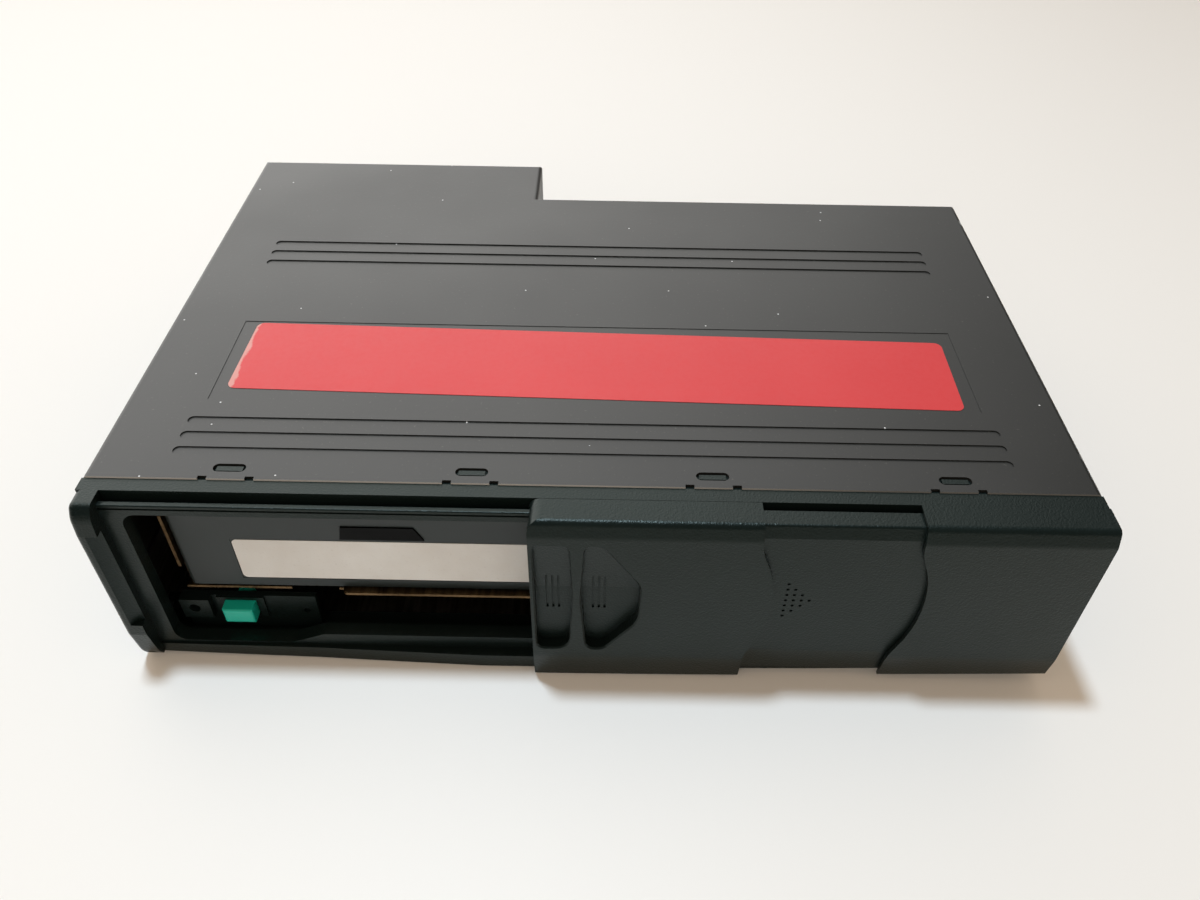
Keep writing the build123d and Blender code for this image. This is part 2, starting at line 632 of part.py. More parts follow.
def sliding_door():
    """Door: raised grip part, lower tongue to its right and the top hook that it hangs on."""
    right = RAISED_LEFT + RAISED_WIDTH
    hook_out = STRIP + 0.35
    inside = NOSE - RAISED_WALL
    raised = [
        (hook_out, HOOK_DOWN), (hook_out, RAISED_DOWN), (12.2, RAISED_DOWN), (NOSE, BEVEL_DOWN),
        (NOSE, LOWER_CREASE), (12.4, BELOW), (11.1, BELOW), (inside, LOWER_CREASE),
        (inside, BEVEL_DOWN + 0.5), (11.2, 1.7), (hook_out + SKIN, 1.7), (hook_out + SKIN, HOOK_DOWN),
    ]
    grip = side_profile(raised, RAISED_LEFT, right + BULGE + 1, {2: 1.8, 3: 3.0, 4: 14.0})
    floor_out = NOSE - RECESS_DEPTH
    backing = front_block(
        RAISED_LEFT, right - 27, floor_out - 0.9, inside + 0.6, RECESS_TOP - 1.2, RECESS_BOTTOM + 1.2
    )
    grip = (grip + backing) & front_profile(
        [(RAISED_LEFT, RAISED_DOWN), (2 * HALF, RAISED_DOWN), (2 * HALF, HEIGHT), (RAISED_LEFT, HEIGHT)],
        0, NOSE, {0: 3.0},
    )
    grip -= s_edge(right, -1, NOSE + 1, 1)
    for outline, corners in (left_recess(), right_recess()):
        grip -= recess(outline, corners)
    for groove in groove_set(-11.1, floor_out) + groove_set(0.7, floor_out):
        grip -= groove
    lining = TONGUE_FACE - SKIN
    tongue = side_profile(
        [
            (6.2, TONGUE_DOWN), (10.9, TONGUE_DOWN), (TONGUE_FACE, 4.6), (TONGUE_FACE, LOWER_CREASE - 2.5),
            (TONGUE_FACE - 0.85, TONGUE_FOOT), (CHIN + CLEAR, TONGUE_FOOT), (lining, LOWER_CREASE - 2.5),
            (lining, 5.0), (10.2, TONGUE_DOWN + 0.8), (6.2, TONGUE_DOWN + 0.8),
        ],
        right - 6, TONGUE_RIGHT, {1: 0.8},
    )
    for dot in opening_dots():
        tongue -= dot
    return joined([grip & belly(), tongue])


def left_recess():
    """Outline and corner radii of the left finger recess, its floor rising from below."""
    left = RAISED_LEFT + 1.2
    outline = [
        (left, RECESS_TOP), (-5.3, RECESS_TOP), (-4.6, RECESS_TOP + 20.6), (-5.6, RECESS_BOTTOM),
        (left, RECESS_BOTTOM),
    ]
    return outline, {0: 1.6, 1: 2.4, 2: 60.0, 3: 4.0, 4: 2.0}


def right_recess():
    """Outline and corner radii of the right finger recess, bowed away from the bar."""
    outline = [
        (-1.2, RECESS_TOP), (3.0, RECESS_TOP), (12.8, RECESS_TOP + 14.6), (12.4, RECESS_BOTTOM - 12.0),
        (3.4, RECESS_BOTTOM), (-1.0, RECESS_BOTTOM), (-2.4, RECESS_TOP + 20.6),
    ]
    return outline, {0: 1.8, 1: 3.6, 2: 9.0, 3: 9.0, 4: 3.0, 5: 2.6, 6: 40.0}


def recess(outline, corners):
    """A pocket in the face with a broken rim and a sloping floor, deepest below."""
    pocket = front_profile(outline, NOSE - RECESS_DEPTH, NOSE + 1, corners)
    slope_end = RECESS_TOP + 18.6
    behind = NOSE - RECESS_DEPTH - 1
    above = RECESS_TOP - 1
    ramp = side_profile(
        [(NOSE - 0.9, above), (behind + 1, slope_end), (behind, slope_end), (behind, above)],
        RAISED_LEFT - 5, 16,
    )
    mouth = Plane.XZ.offset(NOSE - Y_STEEL) * rounded([(x, HEIGHT - down) for x, down in outline], corners)
    rim = extrude(mouth, RECESS_RIM, dir=(0, -1, 0), taper=-45)
    return (pocket - ramp) + Pos(0, RECESS_RIM, 0) * rim


def inner_shutter():
    """Flat second shutter that slides between the door and the frame."""
    right = SHUTTER_LEFT + SHUTTER_LENGTH
    plate = front_block(SHUTTER_LEFT, right, SHUTTER_BACK, SHUTTER_BACK + SKIN, 2.6, SHUTTER_FOOT)
    return fillet(plate.edges().filter_by(Axis.Y), 1.5)


# ---- magazine and trays -------------------------------------------------------------


def tray_z(index):
    """Underside of a tray, counted from the lowest."""
    return MAG_Z0 + MAG_WALL + CLEAR + index * PITCH


def magazine_case():
    """Magazine case, open to the right, with ledges between the trays."""
    case = block(MAG_LEFT, MAG_RIGHT, MAG_Y0, MAG_Y1, MAG_Z0, MAG_Z1)
    case = fillet(case.edges().filter_by(Axis.Z), 1.5)
    case -= block(
        MAG_LEFT + MAG_WALL, MAG_RIGHT + 1, MAG_Y0 + MAG_WALL, MAG_Y1 - MAG_WALL,
        MAG_Z0 + MAG_WALL, MAG_Z1 - MAG_WALL,
    )
    for index in range(1, DISC_COUNT):
        z = tray_z(index) - CLEAR
        for y0, y1 in ((MAG_Y0 + 0.7, MAG_Y0 + 3.6), (MAG_Y1 - 3.6, MAG_Y1 - 0.7)):
            case += block(MAG_LEFT + 0.7, MAG_RIGHT - 2, y0, y1, z - 0.9, z)
    w, h, d = STICKER
    case -= front_block(
        STICKER_LEFT - 0.3, STICKER_LEFT + w + 0.3, -MAG_FRONT - d - 0.03, 1,
        STICKER_TOP - 0.3, STICKER_TOP + h + 0.3,
    )
    case -= push_outline(SEAT, -MAG_FRONT - 0.8, 1)
    return case


def push_outline(grow, out0, out1):
    """Trapezoid of the push pad."""
    w, h = PUSH_PAD
    spots = [
        (PUSH_LEFT + 0.8 - grow, PUSH_TOP - grow), (PUSH_LEFT + w - 2.4 + grow, PUSH_TOP - grow),
        (PUSH_LEFT + w + grow, PUSH_TOP + h + grow), (PUSH_LEFT - grow, PUSH_TOP + h + grow),
    ]
    return front_profile(spots, out0, out1)


def push_pad():
    """Inset pad that marks where to push the magazine home."""
    return push_outline(0, -MAG_FRONT - 0.7, -MAG_FRONT + 0.4)


def magazine_sticker():
    """Paper sticker on the magazine's face."""
    w, h, d = STICKER
    x = STICKER_LEFT + w / 2
    z = HEIGHT - STICKER_TOP - h / 2
    face = Plane(origin=(x, MAG_Y0 + d, z), x_dir=(1, 0, 0), z_dir=(0, -1, 0)) * RectangleRounded(w, h, 1.4)
    return extrude(face, d)


def disc_tray(index):
    """Tray with a round recess and the opening for spindle and pickup."""
    z = tray_z(index)
    x0, x1 = MAG_LEFT + MAG_WALL + CLEAR, MAG_RIGHT - 1.0
    y0, y1 = MAG_Y0 + MAG_WALL + CLEAR, MAG_Y1 - MAG_WALL - CLEAR
    plate = block(x0, x1, y0, y1, z, z + TRAY_THICK)
    for y in (y0, y1 - 2.5):
        plate -= block(x0 - 1, x1 + 1, y - 0.1, y + 2.6, z + 2.6, z + TRAY_THICK + 1)
    plate -= rod(DISC_X, DISC_Y, z + 1.2, DISC_RADIUS + 0.6, 5)
    plate -= rod(DISC_X, DISC_Y, z - 1, 21.0, 5)
    plate -= block(DISC_X, x1 + 1, DISC_Y - 21.0, DISC_Y + 21.0, z - 1, z + 5)
    return plate


def disc(index):
    """Disc in its tray."""
    z = tray_z(index) + 1.2
    return rod(DISC_X, DISC_Y, z, DISC_RADIUS, DISC_THICK) - rod(DISC_X, DISC_Y, z - 1, DISC_HOLE, 5)


# ---- magazine bay and eject parts ---------------------------------------------------


def magazine_bay():
    """Steel bay: left wall and floor on which the magazine slides, on folded feet."""
    under = BAY_TOP_Z - BAY_SHEET
    y1 = MAG_Y1 + 2.0
    floor = block(BAY_LEFT, BAY_RIGHT, Y_STEEL + 0.2, y1, under, BAY_TOP_Z)
    floor -= block(SLOT_DIP_END, SLOT_DIP_END + 13, Y_STEEL - 1, Y_STEEL + 3.5, under - 1, BAY_TOP_Z + 1)
    lead = block(BAY_LEAD_LEFT, BAY_RIGHT, Y_STEEL - 1.6, Y_STEEL + 0.3, under, BAY_TOP_Z)
    lead = fillet(lead.edges().filter_by(Axis.Z).sort_by(Axis.X)[0], 1.2)
    wall = block(BAY_LEFT, BAY_LEFT + BAY_SHEET, Y_STEEL + BAY_SETBACK, y1, under, MAG_Z1)
    tab_top, tab_foot = BAY_TAB
    wall += block(BAY_LEFT, BAY_LEFT + BAY_SHEET, Y_STEEL, y1, HEIGHT - tab_foot, HEIGHT - tab_top)
    back = block(BAY_LEFT, BAY_RIGHT, y1 - BAY_SHEET, y1, CHASSIS_SHEET, MAG_Z1)
    feet = [
        block(x, x + BAY_SHEET, Y_STEEL + 12, y1, CHASSIS_SHEET, BAY_TOP_Z)
        for x in (BAY_LEFT, BAY_RIGHT - BAY_SHEET)
    ]
    return joined([floor, lead, wall, back, *feet])


def button_panel():
    """Moulded panel below the magazine with the button's window and a screw boss."""
    w, h, _ = BUTTON
    panel = front_block(PANEL_LEFT, PANEL_RIGHT, -PANEL_THICK, 0, PANEL_TOP, BELOW - 2.6)
    boss = front_block(PANEL_LEFT, PANEL_LEFT + 8.2, -PANEL_THICK, 2.0, PANEL_TOP, PANEL_TOP + 7.6)
    left, right, foot = BUTTON_X - w / 2, BUTTON_X + w / 2, BUTTON_TOP + h
    collar = front_block(left - 2.4, right + 2.4, -PANEL_THICK, 0.7, BUTTON_TOP - 1.3, foot + 1.3)
    panel = joined([panel, boss, collar])
    panel -= front_block(left - CLEAR, right + CLEAR, -3, 3, BUTTON_TOP - CLEAR, foot + CLEAR)
    panel -= rod(PANEL_LEFT + 3.7, Y_STEEL - 3, HEIGHT - PANEL_TOP - 3.5, 1.6, 3, "Y")
    panel -= rod(PANEL_RIGHT - 3.2, Y_STEEL - 1, HEIGHT - PANEL_TOP - 6.2, 1.0, 2, "Y")
    return panel


def eject_button():
    """Green push button on its stem."""
    w, h, out = BUTTON
    cap = front_block(BUTTON_X - w / 2, BUTTON_X + w / 2, -0.8, out, BUTTON_TOP, BUTTON_TOP + h)
    rim = cap.faces().sort_by(Axis.Y)[0].edges()
    cap = fillet(rim, 0.7)
    z = HEIGHT - BUTTON_TOP - h / 2
    stem = rod(BUTTON_X, Y_STEEL + 0.8, z, STEM_RADIUS, 13.2, "Y")
    collar = rod(BUTTON_X, SPRING_Y - 1.6, z, 2.7, 1.25, "Y")
    return joined([cap, stem, collar])


def eject_spring():
    """Coil spring round the button's stem."""
    z = HEIGHT - BUTTON_TOP - BUTTON[1] / 2
    steps = 12  # to a turn
    rings = []
    for step in range(SPRING_TURNS * steps + 1):
        turn = 2 * pi * step / steps
        out = Vector(cos(turn), sin(turn), 0)
        spot = out * SPRING_RADIUS + Vector(0, 0, SPRING_PITCH * step / steps)
        along = Vector(-sin(turn), cos(turn), SPRING_PITCH / (2 * pi * SPRING_RADIUS))
        rings.append(Plane(origin=spot, x_dir=out, z_dir=along) * RegularPolygon(SPRING_WIRE, 6))
    return Pos(BUTTON_X, SPRING_Y, z) * Rot(-90, 0, 0) * loft(rings, ruled=True)


def spring_seat():
    """Bracket on the floor that guides the stem and backs the spring."""
    z = HEIGHT - BUTTON_TOP - BUTTON[1] / 2
    y = SPRING_Y + 7.9
    leg = block(BUTTON_X - 4, BUTTON_X + 4, y, y + 1.2, CHASSIS_SHEET, z + 3)
    foot = block(BUTTON_X - 4, BUTTON_X + 4, y, y + 6, CHASSIS_SHEET, CHASSIS_SHEET + 1)
    return (leg + foot) - rod(BUTTON_X, y - 2, z, STEM_RADIUS + RUNNING, 6, "Y")


# ---- play deck ----------------------------------------------------------------------


def lift_posts():
    """Three upright steel posts that guide the lift."""
    posts = [rod(x, Y_STEEL + y, CHASSIS_SHEET, POST_RADIUS, HEIGHT - 6) for x, y in POSTS]
    return Compound(children=posts)


def lift_carriage():
    """Carriage that climbs the posts: a ring plate with bushes and the cam's pin."""
    y0, y1 = Y_STEEL + CARRIAGE_FRONT, Y_STEEL + CARRIAGE_BACK
    plate = block(CARRIAGE_LEFT, CARRIAGE_RIGHT, y0, y1, CARRIAGE_Z, CARRIAGE_TOP)
    plate -= block(
        SPIN_X - 21, CARRIAGE_RIGHT - 11.6, SPIN_Y - DISC_RADIUS + 17.5, SLED_END + 3.5,
        CARRIAGE_Z - 5, CARRIAGE_Z + 5,
    )
    for x, y in POSTS:
        plate += rod(x, Y_STEEL + y, CARRIAGE_Z, 3.0, 9.0)
        plate -= rod(x, Y_STEEL + y, CARRIAGE_Z - 1.0, POST_RADIUS + RUNNING, 12.0)
    plate += block(
        CARRIAGE_RIGHT - PLATE, CARRIAGE_RIGHT, CAM_PIN_Y - 28, CAM_PIN_Y + 28, CARRIAGE_Z, CARRIAGE_Z + 7
    )
    plate += rod(CARRIAGE_RIGHT - 1, CAM_PIN_Y, CAM_PIN_Z, CAM_PIN, 3.2, "X")
    x, y = LOADING_GEAR
    return plate - rod(x, y, CARRIAGE_Z - 1, LOADING_SHAFT + SEAT, 4)


def oil_dampers():
    """Three rubber damper cups between carriage and deck."""
    cups = []
    for x, y in DAMPERS:
        low = rod(x, Y_STEEL + y, CARRIAGE_TOP, 3.4, DAMPER_LOW)
        cups.append(low + rod(x, Y_STEEL + y, CARRIAGE_TOP + DAMPER_LOW, 2.4, DAMPER_HIGH))
    return Compound(children=cups)


def floating_deck():
    """Pressed deck plate with the openings for spindle, pickup and sled motor."""
    front, back = SPIN_Y - DISC_RADIUS + 17, SPIN_Y + DISC_RADIUS + 9
    plate = block(CARRIAGE_LEFT + 4, CARRIAGE_RIGHT - 3.6, front, back, DECK_BOTTOM, DECK_TOP)
    plate = fillet(plate.edges().filter_by(Axis.Z), 4.0)
    plate -= block(SPIN_X - 14, SPIN_X + 14, SPIN_Y + 16.5, SLED_END, DECK_BOTTOM - 1, DECK_TOP + 1)
    plate -= block(SCREW_X - 5, SCREW_X + 5, SPIN_Y + 4, SLED_END, DECK_BOTTOM - 1, DECK_TOP + 1)
    plate -= rod(SPIN_X, SPIN_Y, DECK_BOTTOM - 1, 4.0, 4)
    for x, y in POSTS:
        plate -= rod(x, Y_STEEL + y, DECK_BOTTOM - 1, 4.5, 4)
    return plate


def spindle_motor():
    """Flat motor under the deck plate."""
    can = rod(SPIN_X, SPIN_Y, DECK_BOTTOM - 5.6, 12.0, 5.6)
    return can - rod(SPIN_X, SPIN_Y, DECK_BOTTOM - 8, 1.0 + RUNNING, 10)


def turntable():
    """Turntable on the spindle, with the cone that centres the disc."""
    plate = rod(SPIN_X, SPIN_Y, DECK_TOP + 0.6, 11.0, 1.4)
    cone = Cone(7.2, 5.6, 1.6, align=(Align.CENTER, Align.CENTER, Align.MIN))
    hub = Pos(SPIN_X, SPIN_Y, DECK_TOP + 2.0) * cone
    shaft = rod(SPIN_X, SPIN_Y, DECK_BOTTOM - 5.0, 1.0, 7.2)
    return joined([plate, hub, shaft])


def pickup_sled():
    """Pickup carriage between guide rod and lead screw."""
    body = block(SPIN_X - 12, SPIN_X + 12, SLED_Y - 6, SLED_Y + 6, SLED_Z - 1.6, SLED_Z + 2.2)
    eye = block(ROD_X - 2.6, SPIN_X - 11, SLED_Y - 5, SLED_Y + 5, SLED_Z - 1.6, SLED_Z + 2.2)
    nut = block(SPIN_X + 11, SCREW_X - 1.8, SLED_Y - 2, SLED_Y + 2, SLED_Z - 1.0, SLED_Z + 1.0)
    return joined([body, eye, nut]) - rod(ROD_X, SLED_Y - 8, SLED_Z, 1.0 + RUNNING, 16, "Y")


def pickup_lens():
    """Objective lens in its ring on the sled."""
    ring = rod(SPIN_X, SLED_Y, SLED_Z + 2.2, 3.6, 1.4)
    return ring - rod(SPIN_X, SLED_Y, SLED_Z + 3.2, 2.4, 1.0)


def sled_guide_rod():
    """Polished rod that guides the sled."""
    return rod(ROD_X, SLED_Y - 8, SLED_Z, 1.0, SLED_TRAVEL + 14, "Y")


def sled_screw():
    """Lead screw that drives the sled."""
    start = SLED_Y - 3.5
    core = rod(SCREW_X, start, SLED_Z, 1.2, SLED_TRAVEL + 8, "Y")
    return core + rod(SCREW_X, start + 1, SLED_Z, 1.5, SLED_TRAVEL + 4, "Y")


def sled_motor():
    """Small motor at the end of the lead screw."""
    can = rod(SCREW_X, SLED_Y - 17.0, SLED_Z, 4.4, 10.6, "Y")
    return can + rod(SCREW_X, SLED_Y - 6.4, SLED_Z, 0.6, 2.7, "Y")


def clamp_arm():
    """Arm over the deck that carries the clamp puck, hinged behind the disc."""
    reach = ARM_PIVOT_Y - 1
    arm = block(SPIN_X - 9, SPIN_X + 9, SPIN_Y - 9, reach, ARM_Z, ARM_Z + PLATE)
    arm = fillet(arm.edges().filter_by(Axis.Z).sort_by(Axis.Y)[:2], 7.0)
    arm += block(EAR_LEFT_X + 5, EAR_RIGHT_X - 3, reach - 9, reach, ARM_Z, ARM_Z + PLATE)
    arm -= rod(SPIN_X, SPIN_Y, ARM_Z - 1, 4.0 + CLEAR, 4)
    barrel = EAR_LEFT_X + EAR_THICK + CLEAR
    arm += rod(barrel, ARM_PIVOT_Y, ARM_PIVOT_Z, 2.2, EAR_RIGHT_X - CLEAR - barrel, "X")
    return arm - rod(EAR_LEFT_X, ARM_PIVOT_Y, ARM_PIVOT_Z, 1.0 + RUNNING, EAR_RIGHT_X - EAR_LEFT_X, "X")


def arm_pin():
    """Hinge pin of the clamp arm."""
    return rod(EAR_LEFT_X, ARM_PIVOT_Y, ARM_PIVOT_Z, 1.0, EAR_RIGHT_X + EAR_THICK - EAR_LEFT_X, "X")


def arm_bracket():
    """Two ears on the deck plate that hold the arm's pin."""
    ears = []
    for x in (EAR_LEFT_X, EAR_RIGHT_X):
        ear = block(x, x + EAR_THICK, ARM_PIVOT_Y - 2.4, ARM_PIVOT_Y + 2.4, DECK_TOP, ARM_PIVOT_Z)
        ear += rod(x, ARM_PIVOT_Y, ARM_PIVOT_Z, 2.4, EAR_THICK, "X")
        ears.append(ear - rod(x - 1, ARM_PIVOT_Y, ARM_PIVOT_Z, 1.0, EAR_THICK + 2, "X"))
    return Compound(children=ears)


def clamp_puck():
    """Clamp puck that hangs in the arm and turns with the disc."""
    flange = rod(SPIN_X, SPIN_Y, ARM_Z - 1.8, 10.0, 1.4)
    neck = rod(SPIN_X, SPIN_Y, ARM_Z - 0.4, 4.0, 2.0)
    cap = rod(SPIN_X, SPIN_Y, ARM_Z + 1.6, 6.5, 0.8)
    return joined([flange, neck, cap]) - rod(SPIN_X, SPIN_Y, ARM_Z - 2.8, 7.6, 1.9)


# ---- gears and the lift's cam -------------------------------------------------------


def tooth(pitch_line, grow):
    """Straight-sided tooth that points along +X from its pitch line."""
    root, tip = pitch_line - 1.2 * MODULE, pitch_line + 0.9 * MODULE
    half_root, half_tip = 0.26 * pi * MODULE, 0.13 * pi * MODULE
    base = root - grow
    return Polygon((base, -half_root), (tip, -half_tip), (tip, half_tip), (base, half_root), align=None)


def gear(teeth, thick, bore):
    """Spur gear round +Z, with a tooth on +X."""
    radius = MODULE * teeth / 2
    wheel = Circle(radius - 1.2 * MODULE)
    for n in range(teeth):
        wheel += Rot(0, 0, 360 * n / teeth) * tooth(radius, 0.3)
    if bore:
        wheel -= Circle(bore)
    return extrude(wheel, thick)


def rack(length, thick):
    """Rack along +X from the origin whose teeth point to +Y; its pitch line is y = 0."""
    step = pi * MODULE
    bar = Pos(length / 2, -1.2 * MODULE - RACK_DEPTH / 2) * Rectangle(length, RACK_DEPTH)
    for n in range(int(length / step)):
        bar += Pos((n + 0.5) * step, 0) * Rot(0, 0, 90) * tooth(0, 0.2)
    return extrude(bar, thick)


def lift_cam_plate():
    """Plate beside the carriage whose sloping slot lifts it, with a rack on top."""
    top = CAM_TOP - 1.2 * MODULE
    plate = block(CAM_X, CAM_X + CAM_PLATE, CAM_Y0, CAM_Y0 + CAM_LENGTH, CARRIAGE_Z - 1, top)
    half = (CAM_PIN + CLEAR) / cos(radians(45))
    end = 2.6
    y0, z0 = CAM_PIN_Y + end, CAM_PIN_Z - end
    y1, z1 = CAM_PIN_Y - LIFT_TRAVEL - end, CAM_PIN_Z + LIFT_TRAVEL + end
    spots = [(y0, z0 - half), (y0, z0 + half), (y1, z1 + half), (y1, z1 - half)]
    slot = rounded(spots, dict.fromkeys(range(4), 0.8))
    plate -= extrude(Plane.YZ.offset(CAM_X - 1) * slot, 3, dir=(1, 0, 0))
    edge = Plane(origin=(CAM_X, CAM_Y0, CAM_TOP), x_dir=(0, 1, 0), z_dir=(1, 0, 0))
    return plate + edge * rack(CAM_LENGTH, CAM_PLATE)


def lift_gear():
    """Pinion that drives the cam plate."""
    spot = Plane(origin=(CAM_X - 1.2, LIFT_GEAR_Y, CAM_TOP + LIFT_PITCH), x_dir=(0, 0, -1), z_dir=(1, 0, 0))
    return spot * gear(LIFT_TEETH, 2.6, 0)


def lift_motor():
    """Motor of the lift, hung under the cover beside the cam plate."""
    x0, z = CAM_X - 25.9, CAM_TOP + LIFT_PITCH
    can = rod(x0, LIFT_GEAR_Y, z, 5.0, CAM_X - 2.4 - x0, "X")
    hanger = block(x0 + 4, x0 + 14, LIFT_GEAR_Y - 2, LIFT_GEAR_Y + 2, z + 4, HEIGHT - SHEET)
    shaft = rod(CAM_X - 2.6, LIFT_GEAR_Y, z, 0.8, 1.1, "X")
    return joined([can, hanger, shaft])


def tray_hook():
    """Sliding hook with a rack, which pulls a tray out over the deck."""
    bar = Pos(HOOK_LEFT, HOOK_Y, HOOK_Z) * rack(HOOK_LENGTH, 3.0)
    y = HOOK_Y - 1.2 * MODULE - RACK_DEPTH
    claw = block(HOOK_LEFT, HOOK_LEFT + 2.5, y - 2.5, y + 0.5, HOOK_Z, HOOK_Z + 5.4)
    return bar + claw


def loading_gear():
    """Pinion that drives the tray hook."""
    x, y = LOADING_GEAR
    return Pos(x, y, HOOK_Z + 0.2) * Rot(0, 0, -90) * gear(LOADING_TEETH, 2.4, LOADING_SHAFT + RUNNING)


def loading_motor():
    """Flat motor under the carriage whose shaft carries the pinion."""
    x, y = LOADING_GEAR
    can = rod(x, y, CARRIAGE_Z - FLAT_MOTOR, 5.4, FLAT_MOTOR)
    return can + rod(x, y, CARRIAGE_Z - 0.5, LOADING_SHAFT, HOOK_Z + 2.8 - CARRIAGE_Z + 0.5)


def main_board():
    """Circuit board flat on spacers under the magazine bay."""
    board = block(
        BOARD_LEFT, BOARD_RIGHT, Y_STEEL + BOARD_FRONT, Y_STEEL + BOARD_BACK, BOARD_BOTTOM, BOARD_TOP
    )
    for x, y in board_screws():
        board -= rod(x, y, BOARD_BOTTOM - 1, 1.4, 4)
    return board


def board_screws():
    """X and Y of the four screws that hold the board."""
    columns = (BOARD_LEFT + BOARD_INSET, BOARD_RIGHT - BOARD_INSET)
    rows = (Y_STEEL + BOARD_FRONT + BOARD_INSET, Y_STEEL + BOARD_BACK - BOARD_INSET)
    return [(x, y) for x in columns for y in rows]


def board_spacers():
    """Four hexagonal spacers with their screws."""
    steps = (
        (CHASSIS_SHEET, BOARD_BOTTOM, 2.4),
        (BOARD_BOTTOM, BOARD_TOP, 1.3),
        (BOARD_TOP, BOARD_TOP + 1.4, 2.3),
    )
    post = joined([Pos(0, 0, z0) * extrude(RegularPolygon(r, 6), z1 - z0) for z0, z1, r in steps])
    return Compound(children=[Pos(x, y) * post for x, y in board_screws()])


def board_chips():
    """Flat packages and round capacitors on the board, placed from its front left corner."""
    left, front = BOARD_LEFT, Y_STEEL + BOARD_FRONT
    packages = ((26, 34, 20, 20), (56, 36, 14, 14), (86, 32, 12, 18), (30, 70, 10, 16), (58, 72, 16, 10))
    capacitors = ((82, 66), (92, 66), (102, 66), (82, 78))
    chips = []
    for x, y, w, h in packages:
        x0, y0 = left + x - w / 2, front + y - h / 2
        chips.append(block(x0, x0 + w, y0, y0 + h, BOARD_TOP, BOARD_TOP + 1.8))
    for x, y in capacitors:
        chips.append(rod(left + x, front + y, BOARD_TOP, 3.2, CAP_TOP - BOARD_TOP))
    return Compound(children=chips)


# ---- write every node ---------------------------------------------------------------

save("top_cover", top_cover())
save("bottom_chassis", bottom_chassis())
save("cover_screws", cover_screws())
save("transport_screws", transport_screws())
save("top_label", top_label())
save("angle_dial_left", angle_dial(-1))
save("angle_dial_right", angle_dial(1))
save("rear_socket", rear_socket())
save("socket_pins", socket_pins())
save("front_bezel", front_bezel())
save("right_cover", right_cover())
save("sliding_door", sliding_door())
save("inner_shutter", inner_shutter())
save("magazine_case", magazine_case())
save("magazine_sticker", magazine_sticker())
save("push_pad", push_pad())
for number in range(DISC_COUNT):
    save(f"disc_tray_{number + 1}", disc_tray(number))
    save(f"disc_{number + 1}", disc(number))
save("magazine_bay", magazine_bay())
save("button_panel", button_panel())
save("eject_button", eject_button())
save("eject_spring", eject_spring())
save("spring_seat", spring_seat())
save("lift_posts", lift_posts())
save("lift_carriage", lift_carriage())
save("oil_dampers", oil_dampers())
save("floating_deck", floating_deck())
save("spindle_motor", spindle_motor())
save("turntable", turntable())
save("pickup_sled", pickup_sled())
save("pickup_lens", pickup_lens())
save("sled_guide_rod", sled_guide_rod())
save("sled_screw", sled_screw())
save("sled_motor", sled_motor())
save("clamp_arm", clamp_arm())
save("arm_pin", arm_pin())
save("arm_bracket", arm_bracket())
save("clamp_puck", clamp_puck())
save("lift_cam_plate", lift_cam_plate())
save("lift_gear", lift_gear())
save("lift_motor", lift_motor())
save("tray_hook", tray_hook())
save("loading_gear", loading_gear())
save("loading_motor", loading_motor())
save("main_board", main_board())
save("board_spacers", board_spacers())
save("board_chips", board_chips())
print(len(written), "nodes")
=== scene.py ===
"""Looks of the car disc changer: finishes of its pieces, fine fittings and the photo set."""

import math

import bmesh
import bpy
from bpy.props import FloatProperty, FloatVectorProperty, IntProperty, PointerProperty
from mathutils import Matrix, Vector


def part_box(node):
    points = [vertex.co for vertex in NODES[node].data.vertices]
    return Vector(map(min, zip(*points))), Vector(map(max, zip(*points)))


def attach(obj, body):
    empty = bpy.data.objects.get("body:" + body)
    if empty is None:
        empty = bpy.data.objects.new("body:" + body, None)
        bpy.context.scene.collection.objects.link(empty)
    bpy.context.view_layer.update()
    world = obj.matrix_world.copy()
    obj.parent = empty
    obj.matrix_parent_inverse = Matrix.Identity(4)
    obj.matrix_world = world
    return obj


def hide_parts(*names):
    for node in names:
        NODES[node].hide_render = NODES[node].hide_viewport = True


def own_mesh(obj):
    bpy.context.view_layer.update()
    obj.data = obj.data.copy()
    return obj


bl_info = {
    "name": "Car disc changer",
    "version": (1, 1, 0),
    "blender": (4, 5, 0),
    "location": "View3D > Sidebar > Changer",
    "description": "Dresses the packed car disc changer and sets up its picture",
    "category": "Object",
}

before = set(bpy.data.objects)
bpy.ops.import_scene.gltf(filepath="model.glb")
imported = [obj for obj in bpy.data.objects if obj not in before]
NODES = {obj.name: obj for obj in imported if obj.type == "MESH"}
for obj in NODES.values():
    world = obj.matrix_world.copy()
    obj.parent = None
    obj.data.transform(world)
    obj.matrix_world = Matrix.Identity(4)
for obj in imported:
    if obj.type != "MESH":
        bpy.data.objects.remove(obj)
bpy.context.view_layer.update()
MM = 0.001
COVER_LOW, COVER_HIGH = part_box("top_cover")
LABEL_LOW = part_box("top_label")[0]
DISC_LOW, DISC_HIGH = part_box("disc_1")
SCREW_LOW, SCREW_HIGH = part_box("sled_screw")
BOARD_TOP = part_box("main_board")[1].z
ROLLED_ALONG_Y = (1.0, 0.05, 1.0)  # draws a pattern out to twenty times its length
NOISE_RANGE = {"From Min": 0.3, "From Max": 0.7}  # what most of a noise texture lies in


# ---- colours, nodes and meshes ---------------------------------------------------------


def srgb(code):
    """Linear colour of an sRGB hex value."""
    parts = [int(code[i : i + 2], 16) / 255 for i in (1, 3, 5)]
    return (*[p / 12.92 if p <= 0.04045 else ((p + 0.055) / 1.055) ** 2.4 for p in parts], 1.0)


def per(size_mm):
    """Scale of a pattern whose blotches or cells are size_mm across."""
    return 1 / (size_mm * MM)


